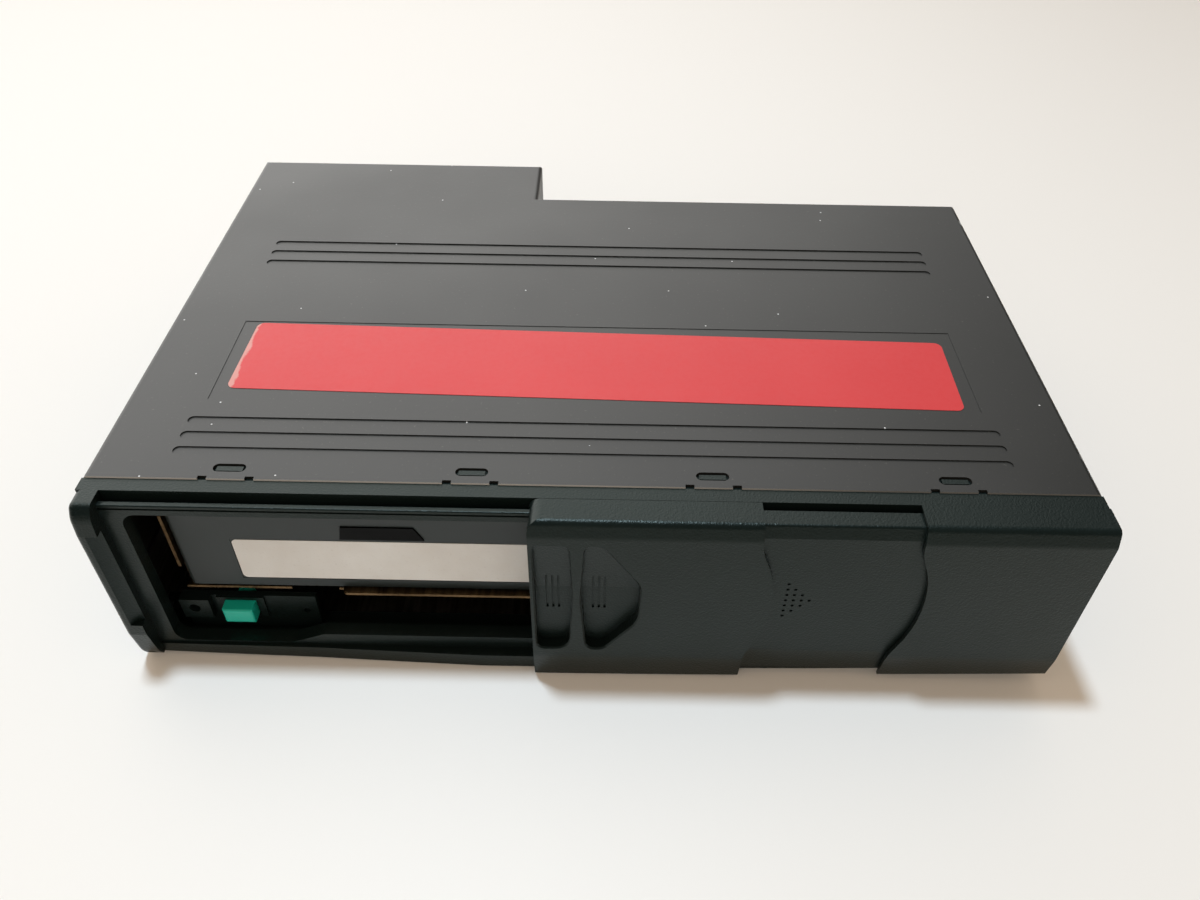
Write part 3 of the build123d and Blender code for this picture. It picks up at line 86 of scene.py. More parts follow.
def add(tree, kind, inputs=None, **settings):
    """Adds a node with its settings, and fills or links its inputs."""
    node = tree.nodes.new(kind if "Node" in kind else "ShaderNode" + kind)
    for name, value in settings.items():
        setattr(node, name, value)
    for key, value in (inputs or {}).items():
        if isinstance(value, bpy.types.Node):
            value = value.outputs[0]
        if isinstance(value, bpy.types.NodeSocket):
            tree.links.new(value, node.inputs[key])
        else:
            node.inputs[key].default_value = value
    return node


def start(name, values):
    """A new material: its tree, its shader and the piece's own coordinates."""
    mat = bpy.data.materials.new(name)
    mat.use_nodes = True
    tree = mat.node_tree
    tree.nodes.clear()
    shader = add(tree, "BsdfPrincipled", values)
    add(tree, "OutputMaterial", {"Surface": shader})
    return mat, tree, shader, add(tree, "TexCoord").outputs["Object"]


def paint(mat, *names):
    """Gives CAD nodes a material."""
    for name in names:
        slots = NODES[name].data.materials
        slots.clear()
        slots.append(mat)


def grown(name, tree, values, mesh):
    """Runs a Geometry Nodes tree on a mesh and keeps the result as a plain mesh."""
    piece = bpy.data.objects.new(name, mesh)
    bpy.context.scene.collection.objects.link(piece)
    modifier = piece.modifiers.new("grow", "NODES")
    modifier.node_group = tree
    for item in tree.interface.items_tree:
        if item.in_out == "INPUT" and item.name in values:
            modifier[item.identifier] = values[item.name]
    ready = piece.evaluated_get(bpy.context.evaluated_depsgraph_get())
    result = bpy.data.meshes.new_from_object(ready)
    piece.modifiers.clear()
    piece.data = result
    return piece


# ---- plastics --------------------------------------------------------------------------


def spark_eroded_abs(cfg):
    # ABS from a spark-eroded tool: near black with a cool, green sheen, weakened by the pits,
    # which glitter where an edge turns to the light.
    mat, tree, shader, where = start(
        "ABS, spark-eroded texture",
        {"IOR": 1.53, "Specular IOR Level": 0.26, "Specular Tint": srgb("#E8F8F2")},
    )
    cloud = add(tree, "TexNoise", {"Vector": where, "Scale": per(50), "Detail": 3})
    body = add(
        tree, "Mix", {0: cloud, 6: (*cfg.moulding, 1), 7: srgb("#141D1B")}, data_type="RGBA"
    )
    # Handling polishes broad patches a little.
    polish = add(tree, "TexNoise", {"Vector": where, "Scale": per(26), "Detail": 4})
    polished, matt = cfg.moulding_roughness - 0.06, cfg.moulding_roughness + 0.05
    rough = add(
        tree, "MapRange", {**NOISE_RANGE, "Value": polish, "To Min": polished, "To Max": matt}
    )
    # Pits drawn coarser than real ones, which are too fine to show.
    pits = add(
        tree, "TexNoise", {"Vector": where, "Scale": per(0.55), "Detail": 2, "Roughness": 0.6}
    )
    bump = add(tree, "Bump", {"Height": pits, "Distance": cfg.grain_depth, "Strength": 0.9})
    tree.links.new(body.outputs[2], shader.inputs["Base Color"])
    tree.links.new(rough.outputs[0], shader.inputs["Roughness"])
    tree.links.new(bump.outputs[0], shader.inputs["Normal"])
    return mat


def moulded(name, dark, pale, roughness, grain_mm=0.5, depth_mm=0.012, sheen=0.5):
    # Plastic from a polished or lightly blasted tool: an even colour, soft highlights and a
    # faint grain, drawn coarser than a real one so that it shows. Each use says more.
    mat, tree, shader, where = start(name, {"IOR": 1.5, "Specular IOR Level": sheen})
    cloud = add(tree, "TexNoise", {"Vector": where, "Scale": per(12), "Detail": 3})
    body = add(tree, "Mix", {0: cloud, 6: srgb(dark), 7: srgb(pale)}, data_type="RGBA")
    rough = add(
        tree, "MapRange",
        {**NOISE_RANGE, "Value": cloud, "To Min": roughness - 0.04, "To Max": roughness + 0.04},
    )
    grain = add(tree, "TexNoise", {"Vector": where, "Scale": per(grain_mm), "Detail": 2})
    bump = add(tree, "Bump", {"Height": grain, "Distance": depth_mm * MM, "Strength": 0.6})
    tree.links.new(body.outputs[2], shader.inputs["Base Color"])
    tree.links.new(rough.outputs[0], shader.inputs["Roughness"])
    tree.links.new(bump.outputs[0], shader.inputs["Normal"])
    return mat


def butyl_rubber():
    # Butyl rubber cups: dull black with a grey bloom.
    values = {"Roughness": 0.75, "IOR": 1.52}
    mat, tree, shader, where = start("Butyl rubber, moulded", values)
    bloom = add(tree, "TexNoise", {"Vector": where, "Scale": per(3), "Detail": 4})
    body = add(tree, "Mix", {0: bloom, 6: srgb("#141414"), 7: srgb("#2E2D2B")}, data_type="RGBA")
    bump = add(tree, "Bump", {"Height": bloom, "Distance": 0.02 * MM, "Strength": 0.5})
    tree.links.new(body.outputs[2], shader.inputs["Base Color"])
    tree.links.new(bump.outputs[0], shader.inputs["Normal"])
    return mat


def acrylic_lens():
    # Acrylic objective lens: glossy, with the blue glint of its antireflection coat.
    values = {"Roughness": 0.05, "IOR": 1.49, "Coat Weight": 1}
    mat, tree, shader, where = start("Acrylic, coated", values)
    cloud = add(tree, "TexNoise", {"Vector": where, "Scale": per(4), "Detail": 1})
    body = add(tree, "Mix", {0: cloud, 6: srgb("#22305C"), 7: srgb("#3D5290")}, data_type="RGBA")
    tree.links.new(body.outputs[2], shader.inputs["Base Color"])
    return mat


# ---- metals ----------------------------------------------------------------------------


def satin_enamel(cfg):
    # Stoved satin enamel on pressed steel: grey sheen with a faint orange peel, small pale
    # specks, paint rubbed off the right fold, and bare steel on the sheared front edge.
    mat, tree, shader, where = start("Satin enamel on steel", {"IOR": 1.5})
    cloud = add(tree, "TexNoise", {"Vector": where, "Scale": per(60), "Detail": 4})
    body = add(
        tree, "Mix", {0: cloud, 6: (*cfg.enamel, 1), 7: srgb("#262523")}, data_type="RGBA"
    ).outputs[2]
    dust = add(tree, "TexNoise", {"Vector": where, "Scale": per(0.9), "Detail": 3})
    dust = add(tree, "MapRange", {"Value": dust, "From Min": 0.66, "From Max": 0.8, "To Max": 0.35})
    body = add(tree, "Mix", {0: dust, 6: body, 7: srgb("#6B6862")}, data_type="RGBA").outputs[2]
    # Specks: in one cell out of ten a dot about 0.5 mm wide, its core and rim being shares of
    # the cell's size.
    core, rim = 0.016, 0.026
    cell = add(tree, "TexVoronoi", {"Vector": where, "Scale": per(11)}, voronoi_dimensions="2D")
    dot = add(
        tree, "MapRange",
        {"Value": cell, "From Min": core, "From Max": rim, "To Min": 1, "To Max": 0},
    )
    pick = add(tree, "SeparateColor", {0: cell.outputs["Color"]})
    chosen = add(tree, "Math", {0: pick, 1: 0.9}, operation="GREATER_THAN")
    speck = add(tree, "Math", {0: dot, 1: chosen}, operation="MULTIPLY")
    # Sheared edge: the front face of the sheet, which the front's strip leaves bare. It
    # shows less and less to the right, as far as edge_fades.
    edge_depth, edge_fades = 0.2 * MM, 0.07
    place = add(tree, "SeparateXYZ", {0: where})
    facing = add(tree, "SeparateXYZ", {0: add(tree, "NewGeometry").outputs["Normal"]})
    ahead = add(tree, "Math", {0: facing.outputs[1], 1: -0.8}, operation="LESS_THAN")
    first = add(
        tree, "Math", {0: place.outputs[1], 1: COVER_LOW.y + edge_depth}, operation="LESS_THAN"
    )
    edge = add(tree, "Math", {0: ahead, 1: first}, operation="MULTIPLY")
    fade = add(
        tree, "MapRange",
        {"Value": place, "From Min": 0.0, "From Max": edge_fades, "To Min": 1, "To Max": 0.3},
    )
    edge = add(tree, "Math", {0: edge, 1: fade}, operation="MULTIPLY")
    # Rubbed fold: chips up to 2 mm long on the upper right edge, in a band that starts at
    # the first distance from the cover's side and top and is full at the second.
    beside, below = (1.4 * MM, 0.5 * MM), (1.8 * MM, 0.9 * MM)
    right = add(
        tree, "MapRange",
        {"Value": place, "From Min": COVER_HIGH.x - beside[0],
         "From Max": COVER_HIGH.x - beside[1]},
    )
    upper = add(
        tree, "MapRange",
        {"Value": place.outputs[2], "From Min": COVER_HIGH.z - below[0],
         "From Max": COVER_HIGH.z - below[1]},
    )
    chip = add(
        tree, "TexNoise", {"Vector": where, "Scale": per(4.5), "Detail": 4, "Roughness": 0.72}
    )
    chip = add(
        tree, "MapRange",
        {"Value": chip, "From Min": cfg.chip_edge, "From Max": cfg.chip_edge + 0.03},
    )
    patch = add(tree, "TexNoise", {"Vector": where, "Scale": per(24), "Detail": 2})
    patch = add(tree, "MapRange", {"Value": patch, "From Min": 0.52, "From Max": 0.6})
    fold = add(tree, "Math", {0: right, 1: upper}, operation="MULTIPLY")
    fold = add(tree, "Math", {0: fold, 1: patch}, operation="MULTIPLY")
    fold = add(tree, "Math", {0: fold, 1: chip}, operation="MULTIPLY")
    bare = add(tree, "Math", {0: edge, 1: fold}, operation="MAXIMUM")
    pale = add(tree, "Math", {0: bare, 1: speck}, operation="MAXIMUM")
    body = add(tree, "Mix", {0: pale, 6: body, 7: srgb("#D4D6D6")}, data_type="RGBA")
    smooth, matt = cfg.enamel_roughness - 0.05, cfg.enamel_roughness + 0.05
    rough = add(
        tree, "MapRange", {**NOISE_RANGE, "Value": cloud, "To Min": smooth, "To Max": matt}
    )
    peel = add(
        tree, "TexNoise", {"Vector": where, "Scale": per(1.6), "Detail": 3, "Roughness": 0.6}
    )
    bump = add(tree, "Bump", {"Height": peel, "Distance": 0.02 * MM, "Strength": 0.7})
    # The worn steel is grey and dull, so it counts as metal only by a tenth.
    dull_metal = 0.1
    metal = add(tree, "Math", {0: bare, 1: dull_metal}, operation="MULTIPLY")
    tree.links.new(body.outputs[2], shader.inputs["Base Color"])
    tree.links.new(rough.outputs[0], shader.inputs["Roughness"])
    tree.links.new(metal.outputs[0], shader.inputs["Metallic"])
    tree.links.new(bump.outputs[0], shader.inputs["Normal"])
    return mat


def rolled(name, dark, pale, roughness):
    # Rolled and plated sheet or drawn bar: streaks along the rolling direction, drawn coarser
    # than real ones so that they show, under cloudy plating. Each use says more.
    mat, tree, shader, where = start(name, {"Metallic": 1})
    along = add(tree, "Mapping", {"Vector": where, "Scale": ROLLED_ALONG_Y})
    streak = add(tree, "TexNoise", {"Vector": along, "Scale": per(1.0), "Detail": 3})
    cloud = add(tree, "TexNoise", {"Vector": where, "Scale": per(18), "Detail": 4})
    tone = add(tree, "Math", {0: streak, 1: cloud}, operation="ADD")
    tone = add(tree, "MapRange", {"Value": tone, "From Min": 0.7, "From Max": 1.3})
    body = add(tree, "Mix", {0: tone, 6: srgb(dark), 7: srgb(pale)}, data_type="RGBA")
    rough = add(
        tree, "MapRange",
        {**NOISE_RANGE, "Value": streak, "To Min": roughness - 0.07, "To Max": roughness + 0.07},
    )
    bump = add(tree, "Bump", {"Height": streak, "Distance": 0.006 * MM, "Strength": 0.5})
    tree.links.new(body.outputs[2], shader.inputs["Base Color"])
    tree.links.new(rough.outputs[0], shader.inputs["Roughness"])
    tree.links.new(bump.outputs[0], shader.inputs["Normal"])
    return mat


def metallised_disc():
    # Polycarbonate over sputtered aluminium: a mirror whose fine rings split the light, round
    # a clear hub, which looks grey.
    hub_radius, metal_from, metal_to = 0.020, 0.018, 0.060
    mat, tree, shader, where = start("Polycarbonate, metallised", {"Metallic": 1})
    middle = (DISC_LOW + DISC_HIGH) / 2
    flat = add(tree, "VectorMath", {0: where, 1: (-middle.x, -middle.y, 0)}, operation="ADD")
    flat = add(tree, "VectorMath", {0: flat, 1: (1, 1, 0)}, operation="MULTIPLY")
    radius = add(tree, "VectorMath", {0: flat}, operation="LENGTH").outputs["Value"]
    share = add(tree, "MapRange", {"Value": radius, "From Min": metal_from, "From Max": metal_to})
    tint = add(tree, "ValToRGB", {"Fac": share})
    tint.color_ramp.elements[0].color = srgb("#E6E6E8")
    tint.color_ramp.elements[1].color = srgb("#F0E6E6")
    for place, colour in ((0.25, "#D6E4F2"), (0.5, "#E9E2F4"), (0.75, "#DCEFE4")):
        tint.color_ramp.elements.new(place).color = srgb(colour)
    hub = add(tree, "Math", {0: radius, 1: hub_radius}, operation="LESS_THAN")
    body = add(tree, "Mix", {0: hub, 6: tint, 7: srgb("#9FA4AA")}, data_type="RGBA")
    # Rings drawn 0.7 mm apart: the real track is far too fine to show.
    ring = add(tree, "Math", {0: radius, 1: 2 * math.pi * per(0.7)}, operation="MULTIPLY")
    ring = add(tree, "Math", {0: ring}, operation="SINE")
    rough = add(tree, "MapRange", {"Value": ring, "From Min": -1, "To Min": 0.08, "To Max": 0.16})
    tree.links.new(body.outputs[2], shader.inputs["Base Color"])
    tree.links.new(rough.outputs[0], shader.inputs["Roughness"])
    return mat


# ---- paper and board -------------------------------------------------------------------


def coated_label(cfg):
    # Coated label paper, solid red: a soft sheen over fine fibres; its left end is painted paler,
    # partly rubbed wear and partly painted sheen.
    mat, tree, shader, where = start("Coated label paper, red", {"IOR": 1.5})
    cloud = add(tree, "TexNoise", {"Vector": where, "Scale": per(34), "Detail": 3})
    body = add(
        tree, "Mix", {0: cloud, 6: (*cfg.label, 1), 7: srgb("#CC3639")}, data_type="RGBA"
    ).outputs[2]
    place = add(tree, "SeparateXYZ", {0: where})
    # Paler towards the left end: partly rubbed wear, partly painted sheen where that side catches
    # the light.
    end = add(
        tree, "MapRange",
        {"Value": place, "From Min": LABEL_LOW.x, "From Max": LABEL_LOW.x + cfg.wear_and_sheen_length,
         "To Min": 1, "To Max": 0},
    )
    wear_and_sheen = add(
        tree, "TexNoise", {"Vector": where, "Scale": per(7), "Detail": 6, "Roughness": 0.65}
    )
    wear_and_sheen = add(tree, "Math", {0: wear_and_sheen, 1: end}, operation="ADD")
    wear_and_sheen = add(tree, "MapRange", {"Value": wear_and_sheen, "From Min": 1.12, "From Max": 1.24})
    body = add(tree, "Mix", {0: wear_and_sheen, 6: body, 7: srgb("#CF8E86")}, data_type="RGBA")
    fibre = add(tree, "TexNoise", {"Vector": where, "Scale": per(1.4), "Detail": 3})
    rough = add(
        tree, "MapRange", {**NOISE_RANGE, "Value": fibre, "To Min": 0.36, "To Max": 0.48}
    )
    bump = add(tree, "Bump", {"Height": fibre, "Distance": 0.012 * MM, "Strength": 0.6})
    tree.links.new(body.outputs[2], shader.inputs["Base Color"])
    tree.links.new(rough.outputs[0], shader.inputs["Roughness"])
    tree.links.new(bump.outputs[0], shader.inputs["Normal"])
    return mat


def bare_sticker(cfg):
    # Uncoated paper: dull and off-white, with darker flecks, greyed by handling.
    mat, tree, shader, where = start("Uncoated paper", {"Roughness": 0.6, "IOR": 1.5})
    grubby = add(tree, "TexNoise", {"Vector": where, "Scale": per(28), "Detail": 4})
    grubby = add(tree, "MapRange", {"Value": grubby, "From Min": 0.35, "From Max": 0.75})
    body = add(
        tree, "Mix", {0: grubby, 6: (*cfg.sticker, 1), 7: srgb("#C9C4BD")}, data_type="RGBA"
    ).outputs[2]
    fibre = add(tree, "TexNoise", {"Vector": where, "Scale": per(0.8), "Detail": 4})
    fleck = add(tree, "MapRange", {"Value": fibre, "From Min": 0.6, "From Max": 0.8, "To Max": 0.3})
    body = add(tree, "Mix", {0: fleck, 6: body, 7: srgb("#A79C90")}, data_type="RGBA")
    bump = add(tree, "Bump", {"Height": fibre, "Distance": 0.01 * MM, "Strength": 0.5})
    tree.links.new(body.outputs[2], shader.inputs["Base Color"])
    tree.links.new(bump.outputs[0], shader.inputs["Normal"])
    return mat


def circuit_board():
    # Glass-fibre board under green solder resist: a waxy gloss, with the copper below as
    # paler lanes and tinned pads. The lanes are coarser than real ones, which wouldn't show.
    values = {"Roughness": 0.35, "IOR": 1.5}
    mat, tree, shader, where = start("Glass-fibre board, green resist", values)
    lanes = add(
        tree, "TexBrick",
        {"Vector": where, "Scale": per(6), "Mortar Size": 0.06, "Mortar Smooth": 0.1},
    ).outputs["Fac"]
    body = add(
        tree, "Mix", {0: lanes, 6: srgb("#072A1C"), 7: srgb("#0F4029")}, data_type="RGBA"
    ).outputs[2]
    holes = add(tree, "TexVoronoi", {"Vector": where, "Scale": per(3.2)})
    pad = add(
        tree, "MapRange",
        {"Value": holes, "From Min": 0.16, "From Max": 0.2, "To Min": 0.8, "To Max": 0},
    )
    body = add(tree, "Mix", {0: pad, 6: body, 7: srgb("#B8A070")}, data_type="RGBA")
    bump = add(tree, "Bump", {"Height": lanes, "Distance": 0.03 * MM, "Strength": 0.8})
    tree.links.new(body.outputs[2], shader.inputs["Base Color"])
    tree.links.new(bump.outputs[0], shader.inputs["Normal"])
    return mat


def white_laminate(cfg):
    # Laminate table top: white, with a soft sheen and hardly any texture.
    values = {"Roughness": 0.5, "IOR": 1.5, "Base Color": (*cfg.table, 1)}
    mat, tree, shader, where = start("White laminate", values)
    wave = add(tree, "TexNoise", {"Vector": where, "Scale": per(5), "Detail": 2})
    bump = add(tree, "Bump", {"Height": wave, "Distance": 0.01 * MM, "Strength": 0.2})
    tree.links.new(bump.outputs[0], shader.inputs["Normal"])
    return mat


# ---- settings --------------------------------------------------------------------------


def colour(name, description, code):
    """A colour that the user can change."""
    return FloatVectorProperty(
        name=name, description=description, default=srgb(code)[:3], subtype="COLOR", min=0, max=1
    )


class ChangerCase(bpy.types.PropertyGroup):
    """Steel case and its label."""

    enamel: colour("Enamel", "Colour of the cover's enamel", "#1A1C19")
    enamel_roughness: FloatProperty(
        name="Enamel roughness", description="How matt the enamel is", default=0.40, min=0.1,
        max=0.9, subtype="FACTOR",
    )
    chip_edge: FloatProperty(
        name="Chipping", description="Lower values chip more paint off the fold", default=0.56,
        min=0.3, max=0.8, subtype="FACTOR",
    )
    label: colour("Label", "Colour of the label", "#C42A2F")
    # Length of the label's paler left end: partly wear, partly painted sheen.
    wear_and_sheen_length: FloatProperty(
        name="Rubbed end", description="Worn length of the label", default=4 * MM, min=0,
        unit="LENGTH",
    )


class ChangerFront(bpy.types.PropertyGroup):
    """Moulded front."""

    moulding: colour("Moulding", "Colour of the front's plastic", "#0B1211")
    moulding_roughness: FloatProperty(
        name="Roughness", description="How matt the front is", default=0.33, min=0.1, max=0.9,
        subtype="FACTOR",
    )
    grain_depth: FloatProperty(
        name="Grain depth", description="Depth of the texture", default=0.11 * MM, min=0,
        unit="LENGTH",
    )


class ChangerMagazine(bpy.types.PropertyGroup):
    """Magazine, its sticker and the eject button."""

    sticker: colour("Sticker", "Colour of the sticker", "#E1E1DE")


class ChangerFittings(bpy.types.PropertyGroup):
    """Fine fittings on the play deck and the board."""

    thread_pitch: FloatProperty(
        name="Thread pitch", description="Pitch of the lead screw", default=3 * MM,
        unit="LENGTH", min=0.5 * MM,
    )
    thread_height: FloatProperty(
        name="Thread height", description="Height of its thread", default=0.28 * MM,
        unit="LENGTH", min=0,
    )
    leg_pitch: FloatProperty(
        name="Leg pitch", description="Spacing of the packages' legs", default=1.27 * MM,
        unit="LENGTH", min=0.3 * MM,
    )
    leg_size: FloatVectorProperty(
        name="Leg", description="Length, width and height of a leg",
        default=(2.6 * MM, 0.45 * MM, 0.5 * MM), subtype="XYZ", unit="LENGTH", min=0,
    )
    coil_steps: IntProperty(
        name="Coil steps", description="Steps to a turn of thread and spring", default=24, min=8,
        subtype="UNSIGNED",
    )
    wire: FloatProperty(
        name="Wire", description="Thickness of the eject spring's wire", default=0.6 * MM,
        unit="LENGTH", min=0.1 * MM,
    )
    spring_turns: FloatProperty(
        name="Spring turns", description="Turns of the eject spring", default=5, min=2
    )


class ChangerStage(bpy.types.PropertyGroup):
    """Camera, lamps and table."""

    lens: FloatProperty(
        name="Lens", description="Focal length on a 36 mm sensor", default=28.82, min=10,
        unit="CAMERA",
    )
    eye: FloatVectorProperty(
        name="Eye", description="Place of the camera", default=(0.0025, -0.2436, 0.22784),
        subtype="TRANSLATION", unit="LENGTH",
    )
    pitch: FloatProperty(
        name="Pitch", description="Downward tilt", default=math.radians(42.798), subtype="ANGLE"
    )
    yaw: FloatProperty(
        name="Yaw", description="Turn to the right", default=math.radians(-0.221), subtype="ANGLE"
    )
    roll: FloatProperty(
        name="Roll", description="Roll of the frame", default=math.radians(0.898), subtype="ANGLE"
    )
    table: colour("Table", "Colour of the table", "#EFEEEA")
    key_watts: FloatProperty(
        name="Ceiling lamp", description="Power of the small lamp", default=17.5, min=0,
        unit="POWER",
    )
    soft_watts: FloatProperty(
        name="Window", description="Power of the large lamp", default=0.7, min=0, unit="POWER"
    )
    fill_watts: FloatProperty(
        name="Fill", description="Power of the front fill", default=4.0, min=0, unit="POWER"
    )
    ambient: colour("Room light", "Colour of the light that fills the shadows", "#FFE0BE")
    ambient_strength: FloatProperty(
        name="Room strength", description="Strength of that light", default=0.50, min=0
    )
    bright_side: FloatProperty(
        name="Bright side", description="Reflected room, back left", default=2.6, min=0
    )
    dark_side: FloatProperty(
        name="Dark side", description="Reflected room elsewhere", default=0.08, min=0
    )


# ---- operators: finishes of the pieces -------------------------------------------------


class CHANGER_OT_case(bpy.types.Operator):
    """Finishes the steel case with its screws and dials"""

    bl_idname = "changer.case"
    bl_label = "Steel case"

    def execute(self, context):
        paint(satin_enamel(context.scene.changer_case), "top_cover")
        # Clear passivation leaves the zinc pale grey, half matt and slightly cloudy.
        zinc = rolled("Clear-passivated zinc on steel", "#8E9192", "#C2C4C4", 0.36)
        paint(zinc, "bottom_chassis", "spring_seat")
        # Oiled black oxide: nearly black, with dull metal highlights.
        paint(rolled("Black-oxide steel", "#1A1A1B", "#2E2E30", 0.42), "cover_screws")
        # Transparent red lacquer lets the metal's glint through.
        paint(rolled("Red-lacquered steel", "#8E1D18", "#B52A22", 0.42), "transport_screws")
        # Filled nylon: waxy grey, with broad weak highlights.
        nylon = moulded("Nylon, dark grey", "#2A2B2C", "#353738", 0.5)
        paint(nylon, "angle_dial_left", "angle_dial_right")
        return {"FINISHED"}


class CHANGER_OT_label(bpy.types.Operator):
    """Finishes the label on the cover"""

    bl_idname = "changer.label"
    bl_label = "Label"

    def execute(self, context):
        paint(coated_label(context.scene.changer_case), "top_label")
        return {"FINISHED"}


class CHANGER_OT_front(bpy.types.Operator):
    """Finishes the moulded front, the door and the shutter"""

    bl_idname = "changer.front"
    bl_label = "Front"

    def execute(self, context):
        abs_black = spark_eroded_abs(context.scene.changer_front)
        paint(abs_black, "front_bezel", "sliding_door", "right_cover", "button_panel")
        # Smooth black polystyrene: neutral black, its sheen wider than a gloss.
        paint(moulded("Polystyrene, smooth black", "#101112", "#16181A", 0.42), "inner_shutter")
        return {"FINISHED"}


class CHANGER_OT_magazine(bpy.types.Operator):
    """Finishes the magazine, its bay, the trays and the discs"""

    bl_idname = "changer.magazine"
    bl_label = "Magazine"

    def execute(self, context):
        trays = [name for name in NODES if name.startswith("disc_tray_")]
        discs = [name for name in NODES if name.startswith("disc_") and name not in trays]
        # Finely blasted ABS: dark grey-green, slightly sparkling.
        fine_abs = moulded("ABS, fine grain", "#1A2120", "#232B2A", 0.42, 0.6, 0.02)
        paint(fine_abs, "magazine_case")
        # The inset pad swallows the light: black and dull, with next to no sheen.
        dull_abs = moulded("ABS, dark grey inset", "#040505", "#080909", 0.6, sheen=0.12)
        paint(dull_abs, "push_pad")
        # Thin mouldings of charcoal polystyrene with an even, soft sheen.
        paint(moulded("Polystyrene, charcoal", "#1D1E1F", "#282A2B", 0.45), *trays)
        paint(metallised_disc(), *discs)
        paint(bare_sticker(context.scene.changer_magazine), "magazine_sticker")
        # Yellow passivation: brown gold whose tone wanders, brightest where it is burnished.
        yellow = rolled("Yellow-passivated zinc on steel", "#4E3B27", "#8A7050", 0.36)
        paint(yellow, "magazine_bay")
        return {"FINISHED"}


class CHANGER_OT_eject(bpy.types.Operator):
    """Finishes the eject button and its spring"""

    bl_idname = "changer.eject"
    bl_label = "Eject button"

    def execute(self, context):
        # Coloured ABS: saturated green that stays bright in the slot's shade.
        paint(moulded("ABS, sea green", "#13A690", "#1CB8A2", 0.34), "eject_button")
        # Drawn wire is bright and has a narrow highlight along it.
        paint(rolled("Drawn spring steel", "#A6A7A8", "#CDCECF", 0.25), "eject_spring")
        return {"FINISHED"}


class CHANGER_OT_deck(bpy.types.Operator):
    """Finishes the play deck and its lift"""

    bl_idname = "changer.deck"
    bl_label = "Play deck"

    def execute(self, context):
        # Zinc plate on a pressing: pale bluish grey, half matt.
        zinc = rolled("Zinc-plated pressing", "#8B8E90", "#BEC1C2", 0.34)
        paint(zinc, "lift_carriage", "clamp_arm")
        # Black plate keeps the metal's shine at a quarter of its brightness.
        black = rolled("Black-plated pressing", "#232426", "#3A3B3E", 0.4)
        paint(black, "floating_deck", "arm_bracket")
        # Ground rods are the brightest steel here, with a sharp line of light.
        ground = rolled("Ground and polished steel", "#B5B6B7", "#D8D9DA", 0.2)
        paint(ground, "lift_posts", "sled_guide_rod", "sled_screw", "arm_pin")
        # Nickel plate on drawn cans: warm grey and smooth.
        cans = rolled("Nickel-plated can", "#9C9B96", "#CBC9C3", 0.25)
        paint(cans, "spindle_motor", "sled_motor", "lift_motor", "loading_motor")
        # Natural acetal: creamy white with a greasy sheen.
        acetal = moulded("Acetal, natural", "#D2CDBE", "#E2DECF", 0.38)
        paint(acetal, "lift_cam_plate", "lift_gear", "tray_hook", "loading_gear", "clamp_puck")
        # Black polycarbonate: neutral black with a clear but soft highlight.
        black_pc = moulded("Polycarbonate, black", "#141415", "#1F1F21", 0.4)
        paint(black_pc, "turntable", "pickup_sled")
        paint(butyl_rubber(), "oil_dampers")
        paint(acrylic_lens(), "pickup_lens")
        return {"FINISHED"}


class CHANGER_OT_board(bpy.types.Operator):
    """Finishes the circuit board and the rear socket"""

    bl_idname = "changer.board"
    bl_label = "Board and socket"

    def execute(self, context):
        paint(circuit_board(), "main_board")
        # Moulding epoxy: dull black.
        paint(moulded("Epoxy, moulded packages", "#121213", "#1D1D1F", 0.55), "board_chips")
        # Nickel on turned brass: warm silver.
        paint(rolled("Nickel-plated brass", "#B4B1A6", "#D6D3C8", 0.25), "board_spacers")
        # Glass-filled polyester: black, its sheen broken up by the fibres.
        paint(moulded("Polyester, glass-filled", "#111213", "#1B1C1D", 0.5), "rear_socket")
        # A flash of gold: thin yellow metal.
        paint(rolled("Gold-flashed brass", "#A47A2C", "#E2BC64", 0.25), "socket_pins")
        return {"FINISHED"}


# ---- operators: fittings grown with Geometry Nodes -------------------------------------


def coil_tree():
    """Geometry Nodes tree that winds a profile into a coil along +Y."""
    tree = bpy.data.node_groups.new("Coil", "GeometryNodeTree")
    for name, kind in (("Pitch", "Float"), ("Turns", "Float"), ("Radius", "Float"),
                       ("Profile Radius", "Float"), ("Profile Sides", "Int"), ("Steps", "Int"),
                       ("Start", "Vector"), ("Finish", "Material")):
        tree.interface.new_socket(name, in_out="INPUT", socket_type="NodeSocket" + kind)
    tree.interface.new_socket("Geometry", in_out="OUTPUT", socket_type="NodeSocketGeometry")
    given = add(tree, "NodeGroupInput").outputs
    length = add(tree, "Math", {0: given["Pitch"], 1: given["Turns"]}, operation="MULTIPLY")
    path = add(
        tree, "GeometryNodeCurveSpiral",
        {"Resolution": given["Steps"], "Rotations": given["Turns"],
         "Start Radius": given["Radius"], "End Radius": given["Radius"], "Height": length},
    )
    profile = add(
        tree, "GeometryNodeCurvePrimitiveCircle",
        {"Resolution": given["Profile Sides"], "Radius": given["Profile Radius"]},
    )
    wound = add(
        tree, "GeometryNodeCurveToMesh",
        {"Curve": path, "Profile Curve": profile, "Fill Caps": True},
    )
    laid = add(
        tree, "GeometryNodeTransform",
        {"Geometry": wound, "Translation": given["Start"], "Rotation": (-math.pi / 2, 0, 0)},
    )
    real = add(tree, "GeometryNodeRealizeInstances", {"Geometry": laid})
    done = add(tree, "GeometryNodeSetMaterial", {"Geometry": real, "Material": given["Finish"]})
    add(tree, "NodeGroupOutput", {0: done})
    return tree


